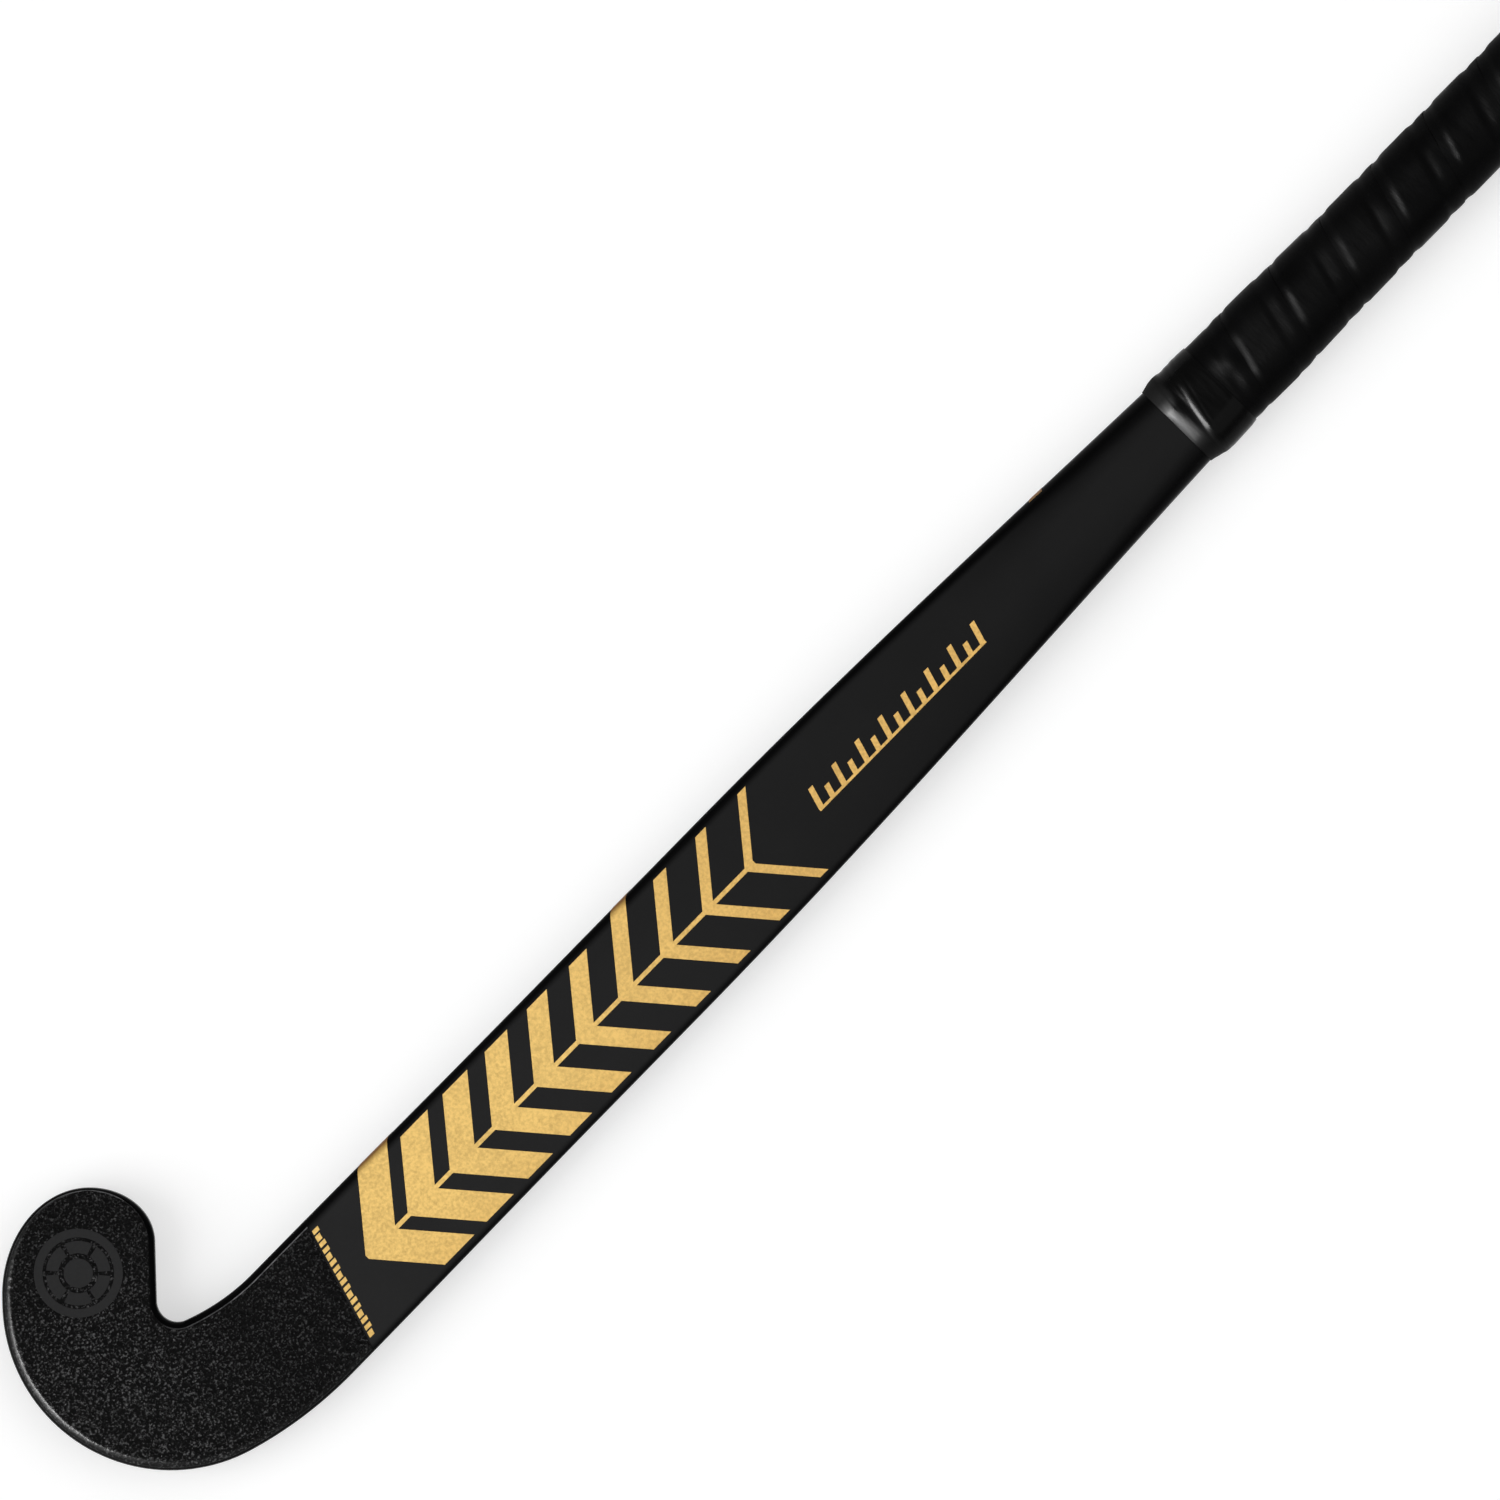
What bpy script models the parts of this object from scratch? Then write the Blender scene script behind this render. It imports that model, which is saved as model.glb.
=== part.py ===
"""Field hockey goalkeeper's stick: a hollow laminated shaft with a hooked head, its core, grip and trim.

The stick lies face up. +X runs up the shaft from the base of the head to the butt, +Y points to the toe and
+Z is the way that the flat playing face looks. All lengths are in metres.
"""

import math

import bmesh
import bpy
from mathutils import Vector

# Whole stick
STICK_LENGTH = 0.927
FIT_GAP = 0.0003

# Hook: the middle line leaves the shaft, turns round the throat and runs out to the toe
HOOK_START = 0.0862
HEEL_BEND_RADIUS = 0.113
HEEL_BEND_ANGLE = math.radians(19)
THROAT_BEND_RADIUS = 0.0334
THROAT_BEND_ANGLE = math.radians(115)
TOE_REACH = 0.0409
NECK_HALF_WIDTH = 0.0249
BASE_HALF_WIDTH = 0.0272
BASE_WIDENING_LENGTH = 0.098
TOE_OUTER_ROUND = 0.0385
TOE_INNER_ROUND = 0.0195
TOE_APEX_SHIFT = 0.0039

# Shaft: a little narrower than the neck, then each side narrows to the handle over its own stretch
SHAFT_HALF_WIDTH = 0.0243
SHAFT_EVEN_FROM = 0.215
HANDLE_HALF_WIDTH = 0.0139
OUTER_TAPER_START = 0.262
OUTER_TAPER_END = 0.630
TOE_TAPER_START = 0.310
TOE_TAPER_END = 0.680
BUTT_FLARE = 0.0012
BUTT_FLARE_LENGTH = 0.045

# Thickness, and the rounding of the long edges
HEAD_THICKNESS = 0.0210
HANDLE_THICKNESS = 0.0262
THICKENING_START = 0.300
THICKENING_END = 0.640
FACE_EDGE_RADIUS = 0.0030
BACK_EDGE_RADIUS = 0.0090
HANDLE_EDGE_RADIUS = 0.0122
EDGE_BLEND_START = 0.400
EDGE_BLEND_END = 0.600
LEAST_EDGE_RADIUS = 0.0006

# Bow: the head is straight, and from there a long curve lifts the shaft
BOW_START = 0.115

# Laminate and what it holds
LAMINATE_WALL = 0.0030
SOCK_THICKNESS = 0.0008
CORE_END = 0.132
STRAP_THICKNESS = 0.0010
STRAP_EDGE_MARGIN = 0.0010
STRAP_END = 0.500
WEB_THICKNESS = 0.0014
WEB_END = 0.600
DAMPER_END_FROM_BUTT = 0.127
TUBE_WALL = 0.0009
TUBE_CLEARANCE = 0.0004
TUBE_EDGE_RADIUS = 0.0018
TUBE_GAP_TO_PLUG = 0.0027
STOPPER_LENGTH = 0.018

# Butt
CAP_THICKNESS = 0.0040
CAP_EDGE_RADIUS = 0.0018
CAP_PEG_RADIUS = 0.0040
CAP_PEG_LENGTH = 0.016
PLUG_LENGTH = 0.040
PLUG_BORE_DEPTH = 0.020

# Grip and collar, each set from where the collar begins
COLLAR_START = 0.5275
COLLAR_RISE_LENGTH = 0.0075
COLLAR_LENGTH = 0.0215
COLLAR_THICKNESS = 0.00045
COLLAR_LIP_THICKNESS = 0.00025
COLLAR_PEAK = COLLAR_START + COLLAR_RISE_LENGTH
COLLAR_END = COLLAR_START + COLLAR_LENGTH
GRIP_TUCK = 0.0035
GRIP_START = COLLAR_START + GRIP_TUCK
GRIP_SEAT_LENGTH = 0.0280
GRIP_SEAT_END = COLLAR_END + GRIP_SEAT_LENGTH
ANCHOR_WIDTH = 0.0200
ANCHOR_MARGIN = 0.0012
CUSHION_START = GRIP_SEAT_END + ANCHOR_MARGIN + ANCHOR_WIDTH + FIT_GAP
CUSHION_END_FROM_BUTT = 0.0285
CUSHION_THICKNESS = 0.0005
GRIP_PITCH = 0.0251
GRIP_START_STEPS = 2
GRIP_LAP_WIDTH = 0.0050
GRIP_LAP_CREST = 0.8
GRIP_THICKNESS = 0.0009
GRIP_LAP_RISE = 0.0005

# Film, foils and marks on the outside
FILM_INSET = 0.0030
FILM_THICKNESS = 0.0004
FILM_END = 0.1045
FILM_END_SLANT = math.radians(17)
FOIL_THICKNESS = 0.0002
FOIL_EDGE_MARGIN = 0.0034
BAR_ZONE_START = 0.119
BAR_PITCH = 0.0212
BAR_COUNT = 10
BAR_WIDEST = 0.0148
BAR_NARROWEST = 0.0040
BAR_SLANT = math.radians(40)
BAR_STRIPE_WIDTH = 0.0016
TICK_ZONE_START = 0.343
TICK_PITCH = 0.0058
TICK_COUNT = 15
TICK_WIDTH = 0.0022
TICK_HEIGHT = 0.0086
TICK_LINE_WIDTH = 0.0010
TICK_SLANT = math.radians(17)
BORDER_LINE_LENGTH = 0.0405
BORDER_LINE_WIDTH = 0.0028
BORDER_LINE_OFFSET = 0.0026
SIDE_FLASH_START = 0.472
SIDE_FLASH_LENGTH = 0.006
SIDE_FLASH_HEIGHT = 0.0030
TOE_MARK_RADIUS = 0.0155
TOE_MARK_BACK_FROM_TIP = 0.0300

# Fineness
FACE_EDGE_STEPS = 3
BACK_EDGE_STEPS = 4
CORE_EDGE_STEPS = 2
HOOK_STEPS = 26
TOE_STEPS = 8
SHAFT_STEP = 0.0300
ROUND_STEPS = 32
DIRECTION_PROBE = 0.0002
SMOOTH_ANGLE = math.radians(32)


def ease(value, low, high):
    """0 before low, 1 after high, and a smooth rise between."""
    share = min(max((value - low) / (high - low), 0.0), 1.0)
    return share * share * (3.0 - 2.0 * share)


def mix(start, end, share):
    return start + (end - start) * share


def heel_turn_end():
    """Where the heel bend ends: a point of the middle line."""
    return Vector((
        HOOK_START - HEEL_BEND_RADIUS * math.sin(HEEL_BEND_ANGLE),
        HEEL_BEND_RADIUS * (1.0 - math.cos(HEEL_BEND_ANGLE)),
    ))


def middle_line(along):
    """Point and turning angle of the hook's middle line, at a distance along it from the shaft."""
    heel_length = HEEL_BEND_RADIUS * HEEL_BEND_ANGLE
    bend_length = THROAT_BEND_RADIUS * THROAT_BEND_ANGLE
    if along <= heel_length:
        turned = along / HEEL_BEND_RADIUS
        point = Vector((
            HOOK_START - HEEL_BEND_RADIUS * math.sin(turned),
            HEEL_BEND_RADIUS * (1.0 - math.cos(turned)),
        ))
        return point, turned
    turned = HEEL_BEND_ANGLE + min(along - heel_length, bend_length) / THROAT_BEND_RADIUS
    start = Vector((math.sin(HEEL_BEND_ANGLE), math.cos(HEEL_BEND_ANGLE)))
    now = Vector((math.sin(turned), math.cos(turned)))
    point = heel_turn_end() + THROAT_BEND_RADIUS * (start - now)
    past_bend = max(0.0, along - heel_length - bend_length)
    return point + past_bend * Vector((-math.cos(turned), math.sin(turned))), turned


def hook_length():
    """Length of the middle line, from the shaft to the tip of the toe."""
    return HEEL_BEND_RADIUS * HEEL_BEND_ANGLE + THROAT_BEND_RADIUS * THROAT_BEND_ANGLE + TOE_REACH


def round_off(half_width, apex, left, round_length):
    """Distance from the middle line of a side that rounds off to the toe's apex over its last stretch."""
    share = max(0.0, 1.0 - left / round_length)
    return apex + (half_width - apex) * math.sqrt(max(0.0, 1.0 - share * share))


def hook_sides(along):
    """Outer point and throat-side point of the hook, at a distance along its middle line."""
    point, turned = middle_line(along)
    outward = Vector((-math.sin(turned), -math.cos(turned)))
    half = mix(NECK_HALF_WIDTH, BASE_HALF_WIDTH, ease(along, 0.0, BASE_WIDENING_LENGTH))
    left = hook_length() - along
    outer = round_off(half, -TOE_APEX_SHIFT, left, TOE_OUTER_ROUND)
    inner = round_off(half, TOE_APEX_SHIFT, left, TOE_INNER_ROUND)
    return point + outward * outer, point - outward * inner


def hook_places():
    """Distances along the hook's middle line, closer together towards the tip."""
    total = hook_length()
    round_start = total - min(TOE_INNER_ROUND, TOE_OUTER_ROUND)
    places = [round_start * step / HOOK_STEPS for step in range(1, HOOK_STEPS + 1)]
    for step in range(1, TOE_STEPS + 1):
        places.append(mix(round_start, total, math.sin(0.5 * math.pi * step / TOE_STEPS)))
    return places


def shaft_half_width(x, taper_start, taper_end):
    """Distance of a long edge from the shaft's axis: a taper to the handle, and a flare at the butt."""
    shaft = mix(NECK_HALF_WIDTH, SHAFT_HALF_WIDTH, ease(x, HOOK_START, SHAFT_EVEN_FROM))
    return mix(shaft, HANDLE_HALF_WIDTH, ease(x, taper_start, taper_end)) + butt_flare(x)


def butt_flare(x):
    return BUTT_FLARE * ease(x, STICK_LENGTH - BUTT_FLARE_LENGTH, STICK_LENGTH)


def outer_half_width(x):
    """Distance of the shaft's outer edge from its axis."""
    return shaft_half_width(x, OUTER_TAPER_START, OUTER_TAPER_END)


def toe_half_width(x):
    """Distance of the shaft's toe-side edge from its axis."""
    return shaft_half_width(x, TOE_TAPER_START, TOE_TAPER_END)


def half_thickness(x):
    """Half of the stick's thickness at x."""
    thickness = mix(HEAD_THICKNESS, HANDLE_THICKNESS, ease(x, THICKENING_START, THICKENING_END))
    return 0.5 * thickness + butt_flare(x)


def middle_height(x):
    """Height of the stick's middle: the bow that sets the head's back and the collar on one floor."""
    rise = half_thickness(COLLAR_PEAK) + collar_offset(COLLAR_PEAK) + COLLAR_THICKNESS - half_thickness(0.0)
    run = max(0.0, x - BOW_START) / (COLLAR_PEAK - BOW_START)
    return rise * run * run


def edge_radii(x):
    """Radii of the face's edge and of the back's edge."""
    share = ease(x, EDGE_BLEND_START, EDGE_BLEND_END)
    face_radius = mix(FACE_EDGE_RADIUS, HANDLE_EDGE_RADIUS, share)
    back_radius = mix(BACK_EDGE_RADIUS, HANDLE_EDGE_RADIUS, share)
    return face_radius, back_radius


def grip_offset(x):
    """Distance from the handle to the inside of the grip: on the laminate first, then over the cushion."""
    over_cushion = CUSHION_THICKNESS + 2.0 * FIT_GAP
    return mix(FIT_GAP, over_cushion, ease(x, COLLAR_END, GRIP_SEAT_END))


def grip_surface(x):
    """Distance from the handle to the outside of a single turn of the grip."""
    return grip_offset(x) + GRIP_THICKNESS


def collar_offset(x):
    """Distance from the handle to the inside of the collar, over the grip's end."""
    return grip_surface(x) + FIT_GAP


def rung(x):
    """The two sides of the shaft at x, with their outward directions."""
    return (
        (Vector((x, -outer_half_width(x))), Vector((0.0, -1.0))),
        (Vector((x, toe_half_width(x))), Vector((0.0, 1.0))),
    )


def hook_rungs():
    """Rungs of the hook, from the neck to the tip of the toe, with the sides' outward directions."""
    places = hook_places()
    rungs = []
    for place in places[:-1]:
        outer, inner = hook_sides(place)
        outer_before, inner_before = hook_sides(place - DIRECTION_PROBE)
        outer_after, inner_after = hook_sides(min(place + DIRECTION_PROBE, places[-1]))
        outer_way = (outer_after - outer_before).normalized()
        inner_way = (inner_after - inner_before).normalized()
        rungs.append((
            (outer, Vector((-outer_way.y, outer_way.x))),
            (inner, Vector((inner_way.y, -inner_way.x))),
        ))
    tip, turned = middle_line(places[-1])
    outward = Vector((-math.sin(turned), -math.cos(turned)))
    ahead = Vector((-math.cos(turned), math.sin(turned)))
    tip_side = (tip - outward * TOE_APEX_SHIFT, ahead)
    rungs.append((tip_side, tip_side))
    return rungs


def shaft_rungs(start, end, step=SHAFT_STEP):
    """Rungs of the shaft from start down to end, about one step apart."""
    count = max(1, round(abs(start - end) / step))
    return [rung(mix(start, end, index / count)) for index in range(count + 1)]


def edge_profile(x, inset, face_steps, back_steps, face_sink, back_sink):
    """Ring points of one long edge, as pairs of distance inside the outline and height."""
    face_radius, back_radius = edge_radii(x)
    face_radius = max(LEAST_EDGE_RADIUS, face_radius - max(inset, face_sink))
    back_radius = max(LEAST_EDGE_RADIUS, back_radius - max(inset, back_sink))
    top = half_thickness(x) - face_sink
    bottom = -half_thickness(x) + back_sink
    points = []
    for step in range(face_steps + 1):
        angle = 0.5 * math.pi * (1.0 - step / face_steps)
        points.append((
            inset + face_radius * (1.0 - math.cos(angle)),
            top - face_radius * (1.0 - math.sin(angle)),
        ))
    for step in range(back_steps + 1):
        angle = 0.5 * math.pi * step / back_steps
        points.append((
            inset + back_radius * (1.0 - math.cos(angle)),
            bottom + back_radius * (1.0 - math.sin(angle)),
        ))
    return points


def side_points(side, inset, face_steps, back_steps, face_sink, back_sink):
    """The ring's points along one side of a rung, from the face to the back."""
    place, outward = side
    points = []
    for inside, height in edge_profile(place.x, inset, face_steps, back_steps, face_sink, back_sink):
        flat = place - outward * inside
        points.append(Vector((flat.x, flat.y, middle_height(flat.x) + height)))
    return points


def ring(rung_sides, inset, steps, sinks=None):
    """One closed section: up the toe side, across the face, and down the outer side."""
    face_sink, back_sink = sinks if sinks else (inset, inset)
    outer, inner = rung_sides
    toe_side = side_points(inner, inset, steps[0], steps[1], face_sink, back_sink)
    outer_side = side_points(outer, inset, steps[0], steps[1], face_sink, back_sink)
    return list(reversed(toe_side)) + outer_side


def tiles_between(rows):
    """Tiles between neighbouring rows, where each row is a pair of points."""
    return [(near[0], far[0], far[1], near[1]) for near, far in zip(rows, rows[1:])]


class Solid:
    """A mesh under construction: shared corners, and faces that skip repeated corners."""

    def __init__(self):
        self.mesh = bmesh.new()
        self.corners = {}

    def corner(self, point):
        key = tuple(round(value, 7) for value in point)
        if key not in self.corners:
            self.corners[key] = self.mesh.verts.new(point)
        return self.corners[key]

    def face(self, points):
        corners = []
        for point in points:
            vertex = self.corner(point)
            if vertex not in corners:
                corners.append(vertex)
        if len(corners) > 2:
            self.mesh.faces.new(corners)

    def skin(self, rings):
        """Joins each ring to the next with a band of faces."""
        for near, far in zip(rings, rings[1:]):
            for index in range(len(near)):
                after = (index + 1) % len(near)
                self.face((near[index], near[after], far[after], far[index]))

    def sheet(self, tiles, low, high):
        """A plate made of flat tiles that share corners, with walls along its free edges only."""
        uses = {}
        for tile in tiles:
            for index, start in enumerate(tile):
                end = tile[(index + 1) % len(tile)]
                edge = frozenset((start.freeze(), end.freeze()))
                uses[edge] = uses.get(edge, 0) + 1
        for tile in tiles:
            bottom = [Vector((point.x, point.y, low(point))) for point in tile]
            top = [Vector((point.x, point.y, high(point))) for point in tile]
            self.face(list(reversed(bottom)))
            self.face(top)
            for index, start in enumerate(tile):
                after = (index + 1) % len(tile)
                if uses[frozenset((start, tile[after]))] == 1:
                    self.face((bottom[index], bottom[after], top[after], top[index]))

    def finish(self, name, colour, roughness, metallic, root, smooth=True):
        """Makes the object, with its faces pointing out."""
        bmesh.ops.recalc_face_normals(self.mesh, faces=self.mesh.faces)
        data = bpy.data.meshes.new(name)
        self.mesh.to_mesh(data)
        self.mesh.free()
        if smooth:
            data.shade_smooth()
            data.set_sharp_from_angle(angle=SMOOTH_ANGLE)
        data.materials.append(finish_of(name, colour, roughness, metallic))
        made = bpy.data.objects.new(name, data)
        bpy.context.collection.objects.link(made)
        made.parent = root
        return made


def finish_of(name, colour, roughness, metallic):
    """A Principled material with the piece's colour, roughness and metallic value."""
    material = bpy.data.materials.new(name + "_finish")
    material.use_nodes = True
    shader = material.node_tree.nodes["Principled BSDF"]
    shader.inputs["Base Color"].default_value = (*colour, 1.0)
    shader.inputs["Roughness"].default_value = roughness
    shader.inputs["Metallic"].default_value = metallic
    material.diffuse_color = (*colour, 1.0)
    return material


CARBON = (0.017, 0.017, 0.018)
FOAM = (0.78, 0.70, 0.45)
ARAMID = (0.70, 0.55, 0.16)
NYLON = (0.55, 0.57, 0.60)
ELASTOMER = (0.10, 0.22, 0.35)
RUBBER = (0.012, 0.012, 0.012)
GOLD = (0.79, 0.50, 0.14)


def shell_end():
    """Where the laminate and the grip stop, under the cap."""
    return STICK_LENGTH - CAP_THICKNESS - FIT_GAP


def full_rungs():
    """Every rung of the laminate, from the butt to the tip of the toe."""
    return shaft_rungs(shell_end(), HOOK_START) + hook_rungs()


def hidden_rungs(start):
    """Rungs for surfaces inside the laminate: every second rung of the hook."""
    return shaft_rungs(start, HOOK_START) + hook_rungs()[1::2]


def make_laminate_shell(root):
    solid = Solid()
    fine = (FACE_EDGE_STEPS, BACK_EDGE_STEPS)
    outside = [ring(sides, 0.0, fine) for sides in full_rungs()]
    inside = [ring(sides, LAMINATE_WALL, fine) for sides in hidden_rungs(shell_end())]
    solid.skin(outside)
    solid.skin(inside)
    solid.skin([outside[0], inside[0]])
    solid.finish("laminate_shell", CARBON, 0.45, 0.0, root)


def make_head_sock(root):
    solid = Solid()
    steps = (CORE_EDGE_STEPS, CORE_EDGE_STEPS)
    inset = LAMINATE_WALL + FIT_GAP
    outside = [ring(sides, inset, steps) for sides in hidden_rungs(CORE_END)]
    inside = [ring(sides, inset + SOCK_THICKNESS, steps) for sides in hidden_rungs(CORE_END)]
    solid.skin(outside)
    solid.skin(inside)
    solid.skin([outside[0], inside[0]])
    solid.finish("head_sock", ARAMID, 0.8, 0.0, root)


def make_head_core(root):
    solid = Solid()
    steps = (CORE_EDGE_STEPS, CORE_EDGE_STEPS)
    inset = LAMINATE_WALL + SOCK_THICKNESS + 2.0 * FIT_GAP
    rings = [ring(sides, inset, steps) for sides in hidden_rungs(CORE_END)]
    solid.skin(rings)
    solid.face(rings[0])
    solid.finish("head_core", FOAM, 0.9, 0.0, root)


def inner_flat_reach(x, way):
    """How far the inner wall of the face, way 1, or of the back, way -1, stays flat from the axis."""
    face_radius, back_radius = edge_radii(x)
    radius = max(LEAST_EDGE_RADIUS, (face_radius if way > 0 else back_radius) - LAMINATE_WALL)
    return min(outer_half_width(x), toe_half_width(x)) - LAMINATE_WALL - radius


def make_strap(name, way, root):
    """A stiffening strap against the inside of the face wall, way 1, or of the back wall, way -1."""
    solid = Solid()
    near = LAMINATE_WALL + FIT_GAP
    far = near + STRAP_THICKNESS

    def height(inset):
        return lambda place: middle_height(place.x) + way * (half_thickness(place.x) - inset)

    rows = []
    for x in stations(CORE_END + FIT_GAP, STRAP_END):
        reach = inner_flat_reach(x, way) - STRAP_EDGE_MARGIN
        rows.append((Vector((x, -reach)), Vector((x, reach))))
    low, high = (far, near) if way > 0 else (near, far)
    solid.sheet(tiles_between(rows), height(low), height(high))
    solid.finish(name, CARBON, 0.6, 0.0, root, smooth=False)


def chamber_depth():
    """Distance from the laminate's outside to the chamber tubes, at the face and at the back."""
    return LAMINATE_WALL + STRAP_THICKNESS + 2.0 * FIT_GAP + TUBE_CLEARANCE


def chamber_ring(x, way, shrink):
    """Section of one chamber: a rounded box between the middle web and the laminate's side wall."""
    depth = chamber_depth() + shrink
    half = half_thickness(x) - depth
    side = toe_half_width(x) if way > 0 else outer_half_width(x)
    near = 0.5 * WEB_THICKNESS + TUBE_CLEARANCE + shrink
    far = side - LAMINATE_WALL - TUBE_CLEARANCE - shrink
    face_radius, back_radius = edge_radii(x)
    least = max(LEAST_EDGE_RADIUS, TUBE_EDGE_RADIUS - shrink)
    far_face = max(least, face_radius - depth)
    far_back = max(least, back_radius - depth)
    points = []
    for corner_y, corner_z, radius, first in (
        (far - far_face, half - far_face, far_face, 0.0),
        (near + least, half - least, least, 0.5 * math.pi),
        (near + least, least - half, least, math.pi),
        (far - far_back, far_back - half, far_back, 1.5 * math.pi),
    ):
        for step in range(CORE_EDGE_STEPS + 1):
            angle = first + 0.5 * math.pi * step / CORE_EDGE_STEPS
            points.append(Vector((
                x,
                way * (corner_y + radius * math.cos(angle)),
                middle_height(x) + corner_z + radius * math.sin(angle),
            )))
    return points


def stations(start, end, step=SHAFT_STEP):
    """Stations from start to end, about one step apart."""
    count = max(1, round(abs(end - start) / step))
    return [mix(start, end, index / count) for index in range(count + 1)]


def tube_end():
    """Where the chamber tubes stop, short of the butt plug."""
    return shell_end() - PLUG_LENGTH - TUBE_GAP_TO_PLUG


def cushion_end():
    """Where the cushion stops and the upper anchor tape begins."""
    return STICK_LENGTH - CUSHION_END_FROM_BUTT


def make_chamber_tube(name, way, root):
    """An air tube: closed at the head, open at its upper end."""
    solid = Solid()
    start = CORE_END + FIT_GAP
    end = tube_end()
    outside = [chamber_ring(x, way, 0.0) for x in stations(start, end)]
    inside = [chamber_ring(x, way, TUBE_WALL) for x in stations(start + TUBE_WALL, end)]
    solid.skin(outside)
    solid.skin(inside)
    solid.face(outside[0])
    solid.face(inside[0])
    solid.skin([outside[-1], inside[-1]])
    solid.finish(name, NYLON, 0.5, 0.0, root)


def make_stopper(name, way, root):
    """A foam stopper inside the open end of a chamber tube."""
    solid = Solid()
    shrink = TUBE_WALL + FIT_GAP
    rings = [chamber_ring(x, way, shrink) for x in (tube_end() - STOPPER_LENGTH, tube_end())]
    solid.skin(rings)
    solid.face(rings[0])
    solid.face(rings[-1])
    solid.finish(name, FOAM, 0.9, 0.0, root)


def make_web(name, start, end, colour, root):
    """An upright strip between the two chamber tubes."""
    solid = Solid()
    half = 0.5 * WEB_THICKNESS
    depth = chamber_depth()
    rows = [(Vector((x, -half)), Vector((x, half))) for x in stations(start, end)]
    solid.sheet(
        tiles_between(rows),
        lambda place: middle_height(place.x) - half_thickness(place.x) + depth,
        lambda place: middle_height(place.x) + half_thickness(place.x) - depth,
    )
    solid.finish(name, colour, 0.6, 0.0, root, smooth=False)


def circle_ring(x, radius):
    """A circle round the handle's middle."""
    return [
        Vector((
            x,
            radius * math.cos(2.0 * math.pi * step / ROUND_STEPS),
            middle_height(x) + radius * math.sin(2.0 * math.pi * step / ROUND_STEPS),
        ))
        for step in range(ROUND_STEPS)
    ]


def level_circle(x, centre_x, radius):
    """A circle round the middle as it lies at centre_x, so that a straight bore keeps one height."""
    lift = middle_height(centre_x) - middle_height(x)
    return [point + Vector((0.0, 0.0, lift)) for point in circle_ring(x, radius)]


def disc_face(solid, outer_points, hole_points):
    """A flat ring between an outline and a round hole, as two faces that meet on two cuts."""
    half_outer = len(outer_points) // 2
    half_hole = len(hole_points) // 2
    far_outer = outer_points[half_outer:] + outer_points[:1]
    far_hole = hole_points[half_hole:] + hole_points[:1]
    solid.face(outer_points[:half_outer + 1] + list(reversed(hole_points[:half_hole + 1])))
    solid.face(far_outer + list(reversed(far_hole)))


def turned_outline(x, inset):
    """The handle's section at x as a ring that starts at the toe side and turns towards the face."""
    points = ring(rung(x), inset, (FACE_EDGE_STEPS, BACK_EDGE_STEPS))
    first = BACK_EDGE_STEPS
    return points[first:] + points[:first]


def make_butt_plug(root):
    """A plug in the open end of the laminate, with a bore for the cap's peg."""
    solid = Solid()
    top = shell_end()
    inset = LAMINATE_WALL + FIT_GAP
    outside = [turned_outline(x, inset) for x in (top, top - PLUG_LENGTH)]
    bore_radius = CAP_PEG_RADIUS + FIT_GAP
    bore = [level_circle(x, top, bore_radius) for x in (top, top - PLUG_BORE_DEPTH)]
    solid.skin(outside)
    solid.face(outside[-1])
    solid.skin(bore)
    solid.face(bore[-1])
    disc_face(solid, outside[0], bore[0])
    solid.finish("butt_plug", FOAM, 0.7, 0.0, root)


def make_butt_cap(root):
    """A cap over the end of the handle and the grip, with a peg that goes into the plug."""
    solid = Solid()
    low = STICK_LENGTH - CAP_THICKNESS
    cover = grip_surface(low)
    rings = [turned_outline(low, -cover)]
    for step in range(BACK_EDGE_STEPS + 1):
        angle = 0.5 * math.pi * step / BACK_EDGE_STEPS
        drawn_in = CAP_EDGE_RADIUS * (1.0 - math.cos(angle))
        x = STICK_LENGTH - CAP_EDGE_RADIUS * (1.0 - math.sin(angle))
        level = middle_height(low) - middle_height(x)
        rings.append([
            Vector((x, point.y, point.z + level))
            for point in turned_outline(x, drawn_in - cover)
        ])
    solid.skin(rings)
    solid.face(rings[-1])
    peg = [level_circle(x, shell_end(), CAP_PEG_RADIUS) for x in (low, low - CAP_PEG_LENGTH)]
    solid.skin(peg)
    solid.face(peg[-1])
    disc_face(solid, rings[0], peg[0])
    solid.finish("butt_cap", RUBBER, 0.55, 0.0, root)


def sleeve(places, inner_offset, outer_offset):
    """A sleeve round the handle, whose inside and outside are functions of the place."""
    solid = Solid()
    steps = (FACE_EDGE_STEPS, BACK_EDGE_STEPS)
    inside = [ring(rung(x), -inner_offset(x), steps) for x in places]
    outside = [ring(rung(x), -outer_offset(x), steps) for x in places]
    solid.skin(inside)
    solid.skin(outside)
    solid.skin([inside[0], outside[0]])
    solid.skin([inside[-1], outside[-1]])
    return solid


def make_cushion_wrap(root):
    solid = sleeve(
        stations(CUSHION_START, cushion_end()),
        lambda x: FIT_GAP,
        lambda x: FIT_GAP + CUSHION_THICKNESS,
    )
    solid.finish("cushion_wrap", RUBBER, 0.9, 0.0, root)


def make_anchor_tape(name, start, root):
    """A band of double-sided tape that holds one end of the grip."""
    solid = sleeve(
        (start, start + ANCHOR_WIDTH),
        lambda x: FIT_GAP,
        lambda x: FIT_GAP + CUSHION_THICKNESS,
    )
    solid.finish(name, NYLON, 0.8, 0.0, root)


def collar_places():
    """Stations of the collar over the grip, which the grip shares under it."""
    return [COLLAR_PEAK, mix(COLLAR_PEAK, COLLAR_END, 0.5), COLLAR_END]


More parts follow.
